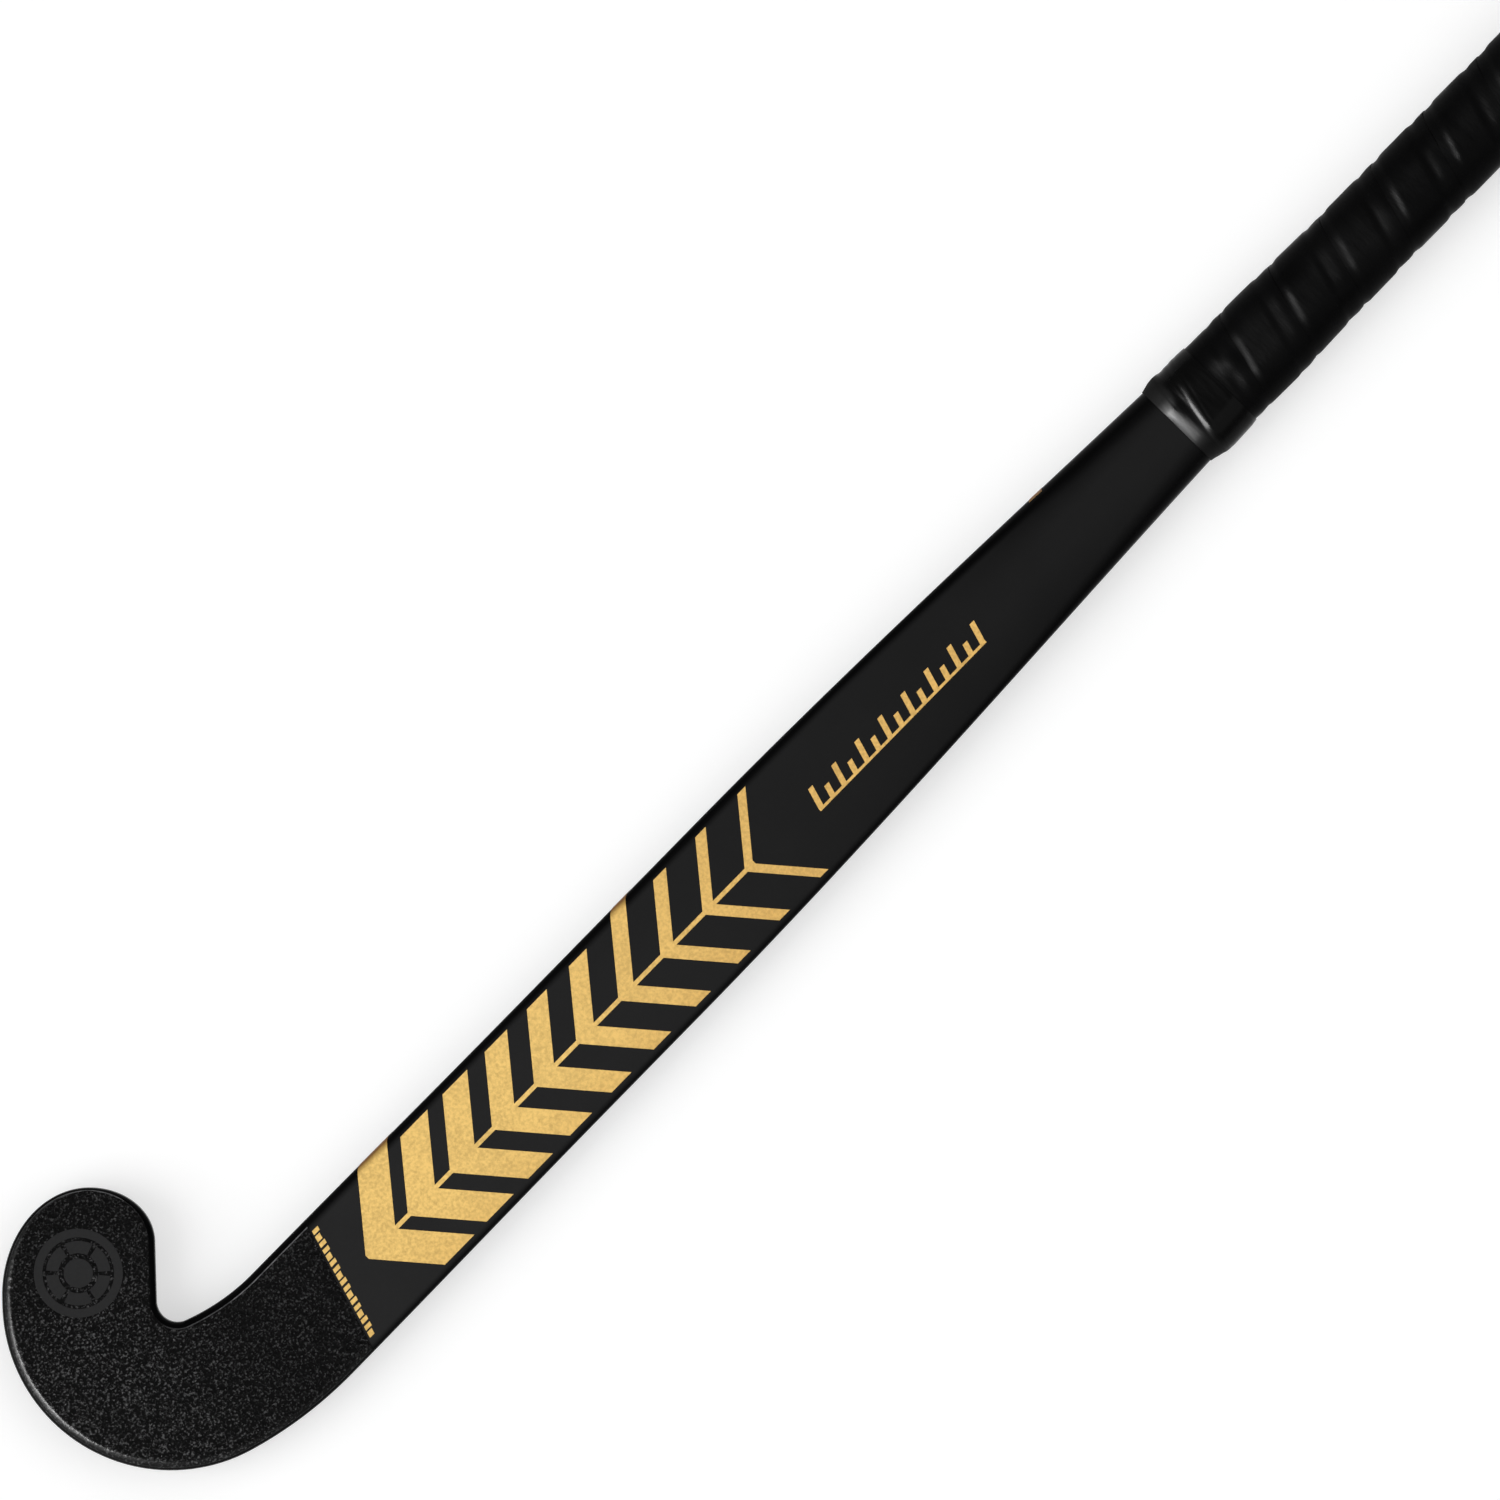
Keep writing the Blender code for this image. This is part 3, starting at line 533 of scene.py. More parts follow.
class NodeSheet:
    """A material being laid out: its shader, and short calls for the nodes that feed it."""

    def __init__(self, name: str) -> None:
        """Starts a material with one Principled shader and the row frame's own coordinates.

        Args:
            name: Name of the material.
        """
        self.material = bpy.data.materials.new(name)
        self.material.use_nodes = True
        self.nodes, self.links = self.material.node_tree.nodes, self.material.node_tree.links
        self.shader = self.nodes["Principled BSDF"]
        self.place = self.node("TexCoord", {}).outputs["Object"]

    def node(self, kind: str, feeds: dict[str | int, Feed], **settings: str) -> bpy.types.Node:
        """Adds a node.

        Args:
            kind: Its type's name after ShaderNode.
            feeds: Sockets or values for its inputs, by name or number.
            **settings: Its own settings.

        Returns:
            The node.
        """
        node = self.nodes.new("ShaderNode" + kind)
        for name, value in settings.items():
            setattr(node, name, value)
        for name, value in feeds.items():
            if isinstance(value, Socket):
                self.links.new(value, node.inputs[name])
            else:
                node.inputs[name].default_value = value
        return node

    def hold(self, name: str, value: float | Sequence[float]) -> None:
        """Sets a socket of the shader to a value that holds all over the surface."""
        self.shader.inputs[name].default_value = value

    def feed(self, source: Socket, name: str) -> None:
        """Links a socket into the shader."""
        self.links.new(source, self.shader.inputs[name])

    def grain(self, grain: Grain) -> Socket:
        """Cloudy noise.

        Args:
            grain: Its clouds.

        Returns:
            A value from 0 to 1.
        """
        place = self.node("VectorMath", {0: self.place, 1: grain.scale}, operation="MULTIPLY").outputs[0]
        clouds = {"Scale": 1.0 / grain.size, "Detail": grain.detail, "Roughness": grain.weight}
        return self.node("TexNoise", {"Vector": place, **clouds}).outputs["Fac"]

    def cells(self, size: float, feature: str = "F1") -> bpy.types.Node:
        """Cells of that size, whose distance runs from each cell's middle or from its edge."""
        return self.node("TexVoronoi", {"Scale": 1.0 / size, "Vector": self.place}, feature=feature)

    def specks(self, size: float, rim: Ramp = (0.15, 0.85, 1.0, 0.0)) -> Socket:
        """Separate grains.

        Args:
            size: Size of a grain.
            rim: Distances from a grain's middle between which it darkens, and its brightness at both.

        Returns:
            Each grain's own brightness, from 0 to 1, darker towards its rim.
        """
        cells = self.cells(size)
        own = self.node("SeparateXYZ", {0: cells.outputs["Color"]}).outputs["X"]
        return self.times(own, self.span(cells.outputs["Distance"], *rim))

    def axis(self, name: str) -> Socket:
        """One coordinate of the place: X, Y or Z."""
        return self.node("SeparateXYZ", {0: self.place}).outputs[name]

    def along(self, start: float, end: float, to_start: float = 0.0, to_end: float = 1.0) -> Socket:
        """A span along X."""
        return self.span(self.axis("X"), start, end, to_start, to_end)

    def upright(self) -> Socket:
        """How much the surface looks up, from -1 to 1."""
        normal = self.node("NewGeometry", {}).outputs["Normal"]
        return self.node("SeparateXYZ", {0: normal}).outputs["Z"]

    def sum_of(self, *terms: tuple[float, Feed]) -> Socket:
        """A weighted sum.

        Args:
            *terms: Weights, each with its socket or value.

        Returns:
            The sum.
        """
        total: Feed = 0.0
        for weight, source in terms:
            total = self.node("Math", {0: source, 1: weight, 2: total}, operation="MULTIPLY_ADD").outputs[0]
        return total

    def maths(self, operation: str, first: Feed, second: Feed = 0.0) -> Socket:
        """One Math node of two values."""
        return self.node("Math", {0: first, 1: second}, operation=operation).outputs[0]

    def times(self, first: Socket, *others: Feed) -> Socket:
        """A product.

        Args:
            first: First socket.
            *others: Sockets or values that it is multiplied by.

        Returns:
            The product.
        """
        for other in others:
            first = self.maths("MULTIPLY", first, other)
        return first

    def span(
        self, source: Socket, low: float, high: float, to_low: float = 0.0, to_high: float = 1.0
    ) -> Socket:
        """The source from low to high, mapped to another range and held at its ends."""
        feeds = {"Value": source, "From Min": low, "From Max": high, "To Min": to_low, "To Max": to_high}
        return self.node("MapRange", feeds).outputs["Result"]

    def across(self, start: float, end: float, to_start: float, to_end: float) -> Socket:
        """A span along Y, counted from the shaft's axis."""
        return self.span(self.axis("Y"), AXIS_Y + start, AXIS_Y + end, to_start, to_end)

    def blend(self, share: Socket, low: Socket | Triple, high: Socket | Triple) -> Socket:
        """The colour between two colours at a share."""
        ends = [end if isinstance(end, Socket) else (*end, 1.0) for end in (low, high)]
        return self.node("Mix", {0: share, 6: ends[0], 7: ends[1]}, data_type="RGBA").outputs[2]

    def relief(self, *layers: tuple[Socket, float]) -> None:
        """Bumps the surface.

        Args:
            *layers: Heights from 0 to 1, each with its depth in metres, the undermost first.
        """
        under: dict[str | int, Feed] = {}
        for height, depth in layers:
            normal = self.node("Bump", {"Height": height, "Distance": depth, **under}).outputs["Normal"]
            under = {"Normal": normal}
        self.feed(normal, "Normal")


@dataclass(frozen=True)
class Finish:
    """A surface finish, which dresses pieces in one shared material.

    Its tones are shares of the colour. Its gloss is what is added to the roughness at the gloss ends.
    """

    name: str
    colour: Triple
    roughness: float
    specular: float = 0.5
    tones: Pair = (0.8, 1.2)
    gloss: Pair = (-0.06, 0.06)
    gloss_ends: Pair = NOISE_RANGE

    def lay_out(self, sheet: NodeSheet) -> None:
        """Lays out the material's nodes."""
        raise NotImplementedError

    def paint(self, sheet: NodeSheet, tone: Socket) -> None:
        """Feeds the colour, in its first tone at 0 and its second at 1."""
        low, high = (scaled(self.colour, share) for share in self.tones)
        sheet.feed(sheet.blend(tone, low, high), "Base Color")

    def polish(self, sheet: NodeSheet, tone: Socket) -> Socket:
        """The roughness, which changes with the tone."""
        low, high = (self.roughness + change for change in self.gloss)
        return sheet.span(tone, *self.gloss_ends, low, high)

    def material(self) -> bpy.types.Material:
        """The finish's material.

        Returns:
            The material, made at its first use.
        """
        found = bpy.data.materials.get(self.name)
        if found is None:
            sheet = NodeSheet(self.name)
            sheet.hold("Specular IOR Level", self.specular)
            self.lay_out(sheet)
            found = sheet.material
            found.diffuse_color = (*self.colour, 1.0)
        return found

    def dress(self, piece: Piece) -> None:
        """Gives a piece this finish alone.

        Args:
            piece: The piece.
        """
        piece.data.materials.clear()
        piece.data.materials.append(self.material())
        for polygon in piece.data.polygons:
            polygon.material_index = 0


@dataclass(frozen=True)
class MattLacquer(Finish):
    """Charcoal lacquer on the laminate: matt on the flats, smooth and black on the edges and the head. The
    black over the edges is painted shade, and painted shade also darkens the face up the shaft and in bands
    along both sides.
    """

    name: str = "matt_lacquer"
    colour: Triple = (0.0155, 0.0155, 0.0158)
    roughness: float = 0.50
    specular: float = 0.02
    gloss: Pair = (-0.03, 0.03)
    gloss_ends: Pair = (0.0, 1.0)
    # Painted shade: the darker charcoal that the face fades to up the shaft.
    upper_shade_colour: Triple = (0.0064, 0.0064, 0.0065)
    # The near black that the lacquer takes on the head and, as painted shade, over the edges and in the side
    # bands.
    edge_shade_colour: Triple = (0.0012, 0.0012, 0.0013)
    edge_roughness: float = 0.20
    cloud: Grain = Grain(0.045, 3.0, 0.6)
    dust: Grain = Grain(0.0009, 2.0, 0.6)
    peel: Grain = Grain(0.0022, 1.0, 0.5)
    peel_depth: float = 0.000008
    dust_depth: float = 0.000004
    cloud_share: float = 0.7
    mottling: float = 0.12
    edge_mottling: float = 0.3
    head_end: Pair = (-0.3592, -0.3584)
    slant: float = math.tan(math.radians(17))
    flat: Pair = (0.66, 0.985)
    fade: Pair = (-0.36, -0.06)
    # Painted shade: bands that darken the face towards the outer side and the toe side, fading in up the
    # shaft.
    outer_side: Ramp = (-0.021, -0.001, 0.60, 0.0)
    outer_fade: Pair = (-0.14, 0.0)
    toe_side: Ramp = (0.007, 0.015, 0.0, 0.70)
    toe_fade: Pair = (-0.04, 0.03)
    # Painted shade: where the dark band along the toe side edge runs, and how wide it is.
    toe_edge: Triple = (0.0244, 0.0232, 0.0183)
    toe_edge_places: Triple = (-0.3485, -0.0865, 0.0425)
    toe_shade_band: Ramp = (0.0016, 0.0038, 0.15, 1.0)

    def lay_out(self, sheet: NodeSheet) -> None:
        """Lays out mottling, fine dust in the lacquer, the smoother edges and head, and painted shade up the
        shaft, along the sides and over the edges.

        Args:
            sheet: The material's sheet.
        """
        dust = sheet.grain(self.dust)
        specks = sheet.sum_of((self.cloud_share, sheet.grain(self.cloud)), (1.0 - self.cloud_share, dust))
        mottle = sheet.span(specks, *NOISE_RANGE)
        matt = self.matt(sheet)
        # Painted shade: the charcoal darkens up the shaft.
        along = sheet.along(*self.fade)
        low, high = (
            sheet.blend(along, scaled(self.colour, share), scaled(self.upper_shade_colour, share))
            for share in (1.0 - self.mottling, 1.0 + self.mottling)
        )
        # Near black on the head and, as painted shade, over the edges and in bands along both sides.
        edge = sheet.blend(mottle, self.edge_shade_colour, scaled(self.edge_shade_colour, 1.0 + self.edge_mottling))
        sheet.feed(sheet.blend(matt, edge, sheet.blend(mottle, low, high)), "Base Color")
        step = self.roughness - self.edge_roughness
        sheet.feed(sheet.sum_of((1.0, self.polish(sheet, mottle)), (step, matt), (-step, 1.0)), "Roughness")
        sheet.relief((sheet.grain(self.peel), self.peel_depth), (dust, self.dust_depth))

    def matt(self, sheet: NodeSheet) -> Socket:
        """Where the lacquer is matt and keeps its charcoal; elsewhere painted shade turns it near black.

        Args:
            sheet: The material's sheet.

        Returns:
            A mask: 1 on the shaft's flats, less towards its sides where painted shade darkens them, and 0
                over the edges and on the head.
        """
        shift = (self.slant * AXIS_Y, 1.0)
        slanted = sheet.sum_of((1.0, sheet.axis("X")), (-self.slant, sheet.axis("Y")), shift)
        # Painted shade: the colour goes near black where the surface turns away from up.
        flat = sheet.span(sheet.maths("ABSOLUTE", sheet.upright()), *self.flat)
        # Painted shade: darker bands along the outer and toe sides.
        outer, toe = (
            sheet.times(sheet.across(*side), sheet.along(*fade))
            for side, fade in ((self.outer_side, self.outer_fade), (self.toe_side, self.toe_fade))
        )
        inner = sheet.sum_of((-1.0, outer), (-1.0, toe), (1.0, 1.0))
        return sheet.times(sheet.span(slanted, *self.head_end), flat, inner, self.off_toe_edge(sheet))

    def off_toe_edge(self, sheet: NodeSheet) -> Socket:
        """A mask of painted shade: a dark band that falls along the shaft's toe side edge and follows the
        taper.

        Args:
            sheet: The material's sheet.

        Returns:
            The mask.
        """
        (low, middle, high), (start, knee, end) = self.toe_edge, self.toe_edge_places
        lower = sheet.along(start, knee, low, middle)
        upper = sheet.along(knee, end, 0.0, high - middle)
        inset = sheet.sum_of((1.0, lower), (1.0, upper), (-1.0, sheet.axis("Y")), (AXIS_Y, 1.0))
        return sheet.span(inset, *self.toe_shade_band)


@dataclass(frozen=True)
class GrainFilm(Finish):
    """Black film with coarse sparkling grain, whose bright specks are partly painted glints; painted shade
    dims it towards the neck and the tip of the toe.
    """

    name: str = "grain_film"
    colour: Triple = (0.0820, 0.0820, 0.0832)
    roughness: float = 0.18
    specular: float = 0.072
    rim_roughness: float = 0.44
    speck_sizes: Pair = (0.00105, 0.000651)
    soft: Grain = Grain(0.000945, 1.5, 0.5)
    cloud: Grain = Grain(0.0105, 2.0, 0.5)
    weights: Ramp = (0.18, 0.17, 0.60, 0.05)
    bright: Pair = (0.40, 0.59)
    contrast: float = 1.5
    dark: float = 0.015
    # Painted shade: how dark the film gets towards the neck and the toe's tip.
    shade_dark: float = 0.01
    shade_share: float = 0.47
    neck_shade: Pair = (-0.428, -0.392)
    toe_shade: Pair = (0.022, 0.050)
    flat: Pair = (0.90, 0.995)
    grain_gloss: float = 0.06
    depth: float = 0.00012

    def lay_out(self, sheet: NodeSheet) -> None:
        """Lays out separate grains, each with its own brightness, that both colour and roughen the film;
        painted shade dims it towards the neck and the toe's tip.

        Args:
            sheet: The material's sheet.
        """
        # The specks' brightness is partly the grain's own tone and partly painted glints.
        layers = [sheet.specks(size) for size in self.speck_sizes]
        layers += [sheet.grain(grain) for grain in (self.soft, self.cloud)]
        sand = sheet.sum_of(*zip(self.weights, layers))
        bright = sheet.span(sand, *self.bright)
        keen = sheet.maths("POWER", bright, self.contrast)
        near = sheet.blend(keen, scaled(self.colour, self.dark), self.colour)
        # Painted shade: dimmer colours towards the neck and the tip of the toe.
        far = sheet.blend(keen, scaled(self.colour, self.shade_dark), scaled(self.colour, self.shade_share))
        neck, toe = sheet.along(*self.neck_shade), sheet.span(sheet.axis("Y"), *self.toe_shade)
        sheet.feed(sheet.blend(sheet.maths("MAXIMUM", neck, toe), near, far), "Base Color")
        flat = (self.roughness - self.rim_roughness, sheet.span(sheet.upright(), *self.flat))
        rim = (self.rim_roughness + 0.5 * self.grain_gloss, 1.0)
        sheet.feed(sheet.sum_of((-self.grain_gloss, bright), flat, rim), "Roughness")
        sheet.relief((sand, self.depth))


@dataclass(frozen=True)
class CutEdge(Finish):
    """The film's cut border: smooth, with a painted highlight along its bead."""

    name: str = "film_cut_edge"
    # Painted highlight: the pale grey of the lit bead.
    colour: Triple = (0.15, 0.15, 0.155)
    roughness: float = 0.30
    specular: float = 0.06
    tones: Pair = (0.02, 1.2)
    gloss: Pair = (0.0, 0.15)
    bead: Grain = Grain(0.0035, 3.0, 0.6)
    bead_highlight: Pair = (0.25, 0.65)
    fade: Pair = (-0.418, -0.385)
    depth: float = 0.00003

    def lay_out(self, sheet: NodeSheet) -> None:
        """Lays out a painted highlight on the bead, which comes and goes along the border and fades out
        towards the head.

        Args:
            sheet: The material's sheet.
        """
        bead = sheet.grain(self.bead)
        # Painted highlight: the bead's pale line comes and goes and fades out towards the head.
        bead_highlight = sheet.times(sheet.span(bead, *self.bead_highlight), sheet.along(*self.fade))
        self.paint(sheet, bead_highlight)
        sheet.feed(self.polish(sheet, bead), "Roughness")
        sheet.relief((bead, self.depth))


@dataclass(frozen=True)
class GoldFoil(Finish):
    """Satin gold transfer foil with fine metallic grain; painted shade makes it darker and redder up the
    shaft and towards the outer side, and brown over an edge.
    """

    name: str = "gold_foil_satin"
    colour: Triple = (0.690, 0.449, 0.125)
    roughness: float = 0.42
    specular: float = 0.12
    gloss: Pair = (-0.05, 0.06)
    metallic: float = 0.12
    # Painted shade: the darker, redder gold up the shaft and towards the outer side.
    upper_shade_colour: Triple = (0.600, 0.362, 0.091)
    # Painted shade: the brown that the gold takes where it rolls over the edge.
    edge_brown_shade: Triple = (0.20, 0.09, 0.02)
    flake: Grain = Grain(0.0011, 2.0, 0.6)
    cloud: Grain = Grain(0.020, 2.0, 0.5)
    flake_share: float = 0.75
    tone: Pair = (0.38, 0.62)
    dull: float = 0.80
    fade: Pair = (-0.25, -0.12)
    outer_side: Ramp = (-0.022, -0.006, 0.45, 0.0)
    flat: Pair = (0.60, 0.985)
    depth: float = 0.000015

    def lay_out(self, sheet: NodeSheet) -> None:
        """Lays out fine flakes, slow cloudiness, a satin gloss, painted shade up the shaft and towards the
        outer side, and painted shade over the edge.

        Args:
            sheet: The material's sheet.
        """
        flake = sheet.grain(self.flake)
        grain = sheet.sum_of((self.flake_share, flake), (1.0 - self.flake_share, sheet.grain(self.cloud)))
        # Painted shade: the gold darkens and reddens up the shaft and towards the outer side.
        fade = sheet.along(*self.fade)
        along = sheet.sum_of((1.0, fade), (1.0, sheet.across(*self.outer_side)))
        dull, plain = (
            sheet.blend(along, scaled(self.colour, share), scaled(self.upper_shade_colour, share))
            for share in (self.dull, 1.0)
        )
        gold = sheet.blend(sheet.span(grain, *self.tone), dull, plain)
        # Painted shade: brown where the foil turns away from up, over the edge.
        sheet.feed(sheet.blend(sheet.span(sheet.upright(), *self.flat), self.edge_brown_shade, gold), "Base Color")
        sheet.feed(self.polish(sheet, flake), "Roughness")
        sheet.hold("Metallic", self.metallic)
        sheet.relief((flake, self.depth))


@dataclass(frozen=True)
class GripSkin(Finish):
    """Black polyurethane of the grip: soft sheen, fine pores and faint pulling marks."""

    name: str = "grip_skin"
    colour: Triple = (0.0026, 0.0026, 0.0027)
    roughness: float = 0.37
    specular: float = 0.015
    tones: Pair = (0.75, 1.3)
    gloss: Pair = (-0.08, 0.13)
    gloss_ends: Pair = (0.38, 0.62)
    pore: float = 0.00075
    pull: Grain = Grain(0.004, 3.0, 0.6, (1.0, 0.22, 0.22))
    cloud: Grain = Grain(0.012, 3.0, 0.6)
    patch: Grain = Grain(0.024, 1.0, 0.5)
    gloss_weights: Triple = (0.2, 0.25, 0.55)
    pull_depth: float = 0.00013
    pore_depth: float = 0.00001

    def lay_out(self, sheet: NodeSheet) -> None:
        """Lays out pores, creases round the handle and uneven gloss.

        Args:
            sheet: The material's sheet.
        """
        cloud, pull, patch = (sheet.grain(grain) for grain in (self.cloud, self.pull, self.patch))
        self.paint(sheet, cloud)
        uneven = sheet.sum_of(*zip(self.gloss_weights, (cloud, pull, patch)))
        sheet.feed(self.polish(sheet, uneven), "Roughness")
        pores = sheet.cells(self.pore).outputs["Distance"]
        sheet.relief((pull, self.pull_depth), (pores, self.pore_depth))


@dataclass(frozen=True)
class CollarVinyl(Finish):
    """Stretched black vinyl of the finishing tape."""

    name: str = "collar_vinyl"
    colour: Triple = (0.0018, 0.0018, 0.0018)
    roughness: float = 0.21
    specular: float = 0.052
    tones: Pair = (0.8, 1.25)
    gloss: Pair = (-0.03, 0.06)
    line: Grain = Grain(0.0011, 2.0, 0.55, (1.0, 0.10, 0.10))
    cloud: Grain = Grain(0.007, 2.0, 0.5)
    outer_side: Ramp = (-0.009, 0.004, 0.30, 0.0)
    toe_side: Ramp = (0.006, 0.011, 0.0, 0.50)
    lip: Ramp = (0.0700, 0.0725, 1.0, 0.0)
    depth: float = 0.000006

    def lay_out(self, sheet: NodeSheet) -> None:
        """Lays out fine stretch lines that run round the handle, with less gloss away from the face's middle.

        Args:
            sheet: The material's sheet.
        """
        lines = sheet.grain(self.line)
        self.paint(sheet, sheet.grain(self.cloud))
        sides = sheet.sum_of((1.0, sheet.across(*self.outer_side)), (1.0, sheet.across(*self.toe_side)))
        dull = sheet.times(sheet.along(*self.lip), sides)
        sheet.feed(sheet.sum_of((1.0, self.polish(sheet, lines)), (1.0, dull)), "Roughness")
        sheet.relief((lines, self.depth))


@dataclass(frozen=True)
class Foam(Finish):
    """Cut foam: open cells over slow cloudiness."""

    name: str = "core_foam"
    colour: Triple = (0.78, 0.70, 0.45)
    roughness: float = 0.9
    tones: Pair = (1.05, 0.72)
    gloss: Pair = (-0.05, 0.05)
    cell: float = 0.0009
    fine_cell: float = 0.4
    wall: float = 0.12
    wall_share: float = 0.6
    cloud: Grain = Grain(0.02)
    wall_depth: float = -0.00025
    fine_depth: float = 0.00005

    def lay_out(self, sheet: NodeSheet) -> None:
        """Lays out cells of two sizes.

        Args:
            sheet: The material's sheet.
        """
        cells = sheet.cells(self.cell, "DISTANCE_TO_EDGE").outputs["Distance"]
        fine = sheet.cells(self.fine_cell * self.cell).outputs["Distance"]
        walls, cloud = sheet.span(cells, 0.0, self.wall), sheet.grain(self.cloud)
        self.paint(sheet, sheet.sum_of((self.wall_share, walls), (1.0 - self.wall_share, cloud)))
        sheet.feed(self.polish(sheet, cloud), "Roughness")
        sheet.relief((walls, self.wall_depth), (fine, self.fine_depth))


@dataclass(frozen=True)
class Woven(Finish):
    """Fibre cloth or tape: crossing yarns under resin or adhesive."""

    name: str = "aramid_braid"
    colour: Triple = (0.70, 0.55, 0.16)
    roughness: float = 0.6
    tones: Pair = (0.62, 1.15)
    gloss: Pair = (-0.08, 0.08)
    yarn: float = 0.0016
    cross: float = 0.5
    slant: float = 1.0
    weights: Triple = (0.5, 0.5, 0.3)
    fibre: Grain = Grain(0.0004, 2.0, 0.6, (0.2, 1.0, 1.0))
    fibre_share: float = 0.6
    yarn_share: float = 0.6
    tone: Pair = (-0.5, 1.0)
    depth: float = 0.0001

    def lay_out(self, sheet: NodeSheet) -> None:
        """Lays out two sets of yarns that cross, with fibres along each.

        Args:
            sheet: The material's sheet.
        """
        x, y, turn = sheet.axis("X"), sheet.axis("Y"), TURN / self.yarn
        warp = sheet.maths("SINE", sheet.sum_of((turn, x), (turn * self.slant, y)))
        weft = sheet.maths("SINE", sheet.sum_of((turn * self.slant, x), (-turn, y)))
        along, across, over = self.weights
        crossing = (over * self.cross, sheet.times(warp, weft))
        yarns = sheet.sum_of((along, warp), (across * self.cross, weft), crossing)
        fibre = sheet.grain(self.fibre)
        cloth = sheet.sum_of((self.yarn_share, yarns), (self.fibre_share, fibre))
        self.paint(sheet, sheet.span(cloth, *self.tone))
        sheet.feed(self.polish(sheet, fibre), "Roughness")
        sheet.relief((yarns, self.depth))


@dataclass(frozen=True)
class CloudyFinish(Finish):
    """Plain stuff whose colour and gloss follow one cloudy grain."""

    cloud: Grain = Grain(0.01, 3.0, 0.6)
    depth: float = 0.00001

    def lay_out(self, sheet: NodeSheet) -> None:
        """Lays out the cloud and the relief.

        Args:
            sheet: The material's sheet.
        """
        cloud = sheet.grain(self.cloud)
        self.paint(sheet, cloud)
        sheet.feed(self.polish(sheet, cloud), "Roughness")
        sheet.relief((self.height(sheet, cloud), self.depth))

    def height(self, sheet: NodeSheet, cloud: Socket) -> Socket:
        """Height of the relief, which is the cloud's own unless the stuff has another."""
        return cloud


@dataclass(frozen=True)
class SmoothFoil(CloudyFinish):
    """Smooth dark grey foil, with a faint print-through of the film's grain below."""

    name: str = "smooth_foil"
    colour: Triple = (0.0220, 0.0220, 0.0224)
    roughness: float = 0.5
    specular: float = 0.015
    cloud: Grain = Grain(0.0011, 1.5, 0.5)
    tones: Pair = (0.9, 1.1)
    gloss: Pair = (-0.04, 0.04)


@dataclass(frozen=True)
class CapRubber(CloudyFinish):
    """Moulded black rubber with a fine spark-eroded texture and light handling marks."""

    name: str = "cap_rubber"
    colour: Triple = (0.0090, 0.0090, 0.0092)
    roughness: float = 0.58
    specular: float = 0.20
    cloud: Grain = Grain(0.006, 3.0, 0.65)
    tones: Pair = (0.7, 1.4)
    gloss: Pair = (-0.06, 0.08)
    gloss_ends: Pair = (0.35, 0.65)
    mould: Grain = Grain(0.0005, 2.0, 0.6)
    depth: float = 0.00003

    def height(self, sheet: NodeSheet, cloud: Socket) -> Socket:
        """Height of the mould's texture."""
        return sheet.grain(self.mould)


@dataclass(frozen=True)
class TubeFilm(CloudyFinish):
    """Thin nylon of the air tubes: milky, with long wrinkles and a soft gloss."""

    name: str = "tube_film_nylon"
    colour: Triple = (0.55, 0.57, 0.60)
    roughness: float = 0.32
    cloud: Grain = Grain(0.006, 4.0, 0.65, (0.3, 1.0, 1.0))
    tones: Pair = (0.8, 1.15)
    gloss: Pair = (-0.08, 0.12)
    depth: float = 0.0004


@dataclass(frozen=True)
class SoftRubber(CloudyFinish):
    """Moulded elastomer or thin foam underlay: matt skin with small pits."""

    name: str = "damper_elastomer"
    colour: Triple = (0.10, 0.22, 0.35)
    roughness: float = 0.7
    pit: float = 0.0008
    depth: float = 0.00006

    def height(self, sheet: NodeSheet, cloud: Socket) -> Socket:
        """Height of the skin between its pits."""
        return sheet.cells(self.pit).outputs["Distance"]


def settle(piece: Piece, finish: Finish, node: str) -> Piece:
    """Dresses a new piece and puts it in a CAD node's place.

    Args:
        piece: The piece.
        finish: Its finish.
        node: The CAD node that it stands for.

    Returns:
        The piece.
    """
    finish.dress(piece)
    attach(piece, BODY)
    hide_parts(node)
    return piece


# ---------------------------------------------------------------- sub-assemblies


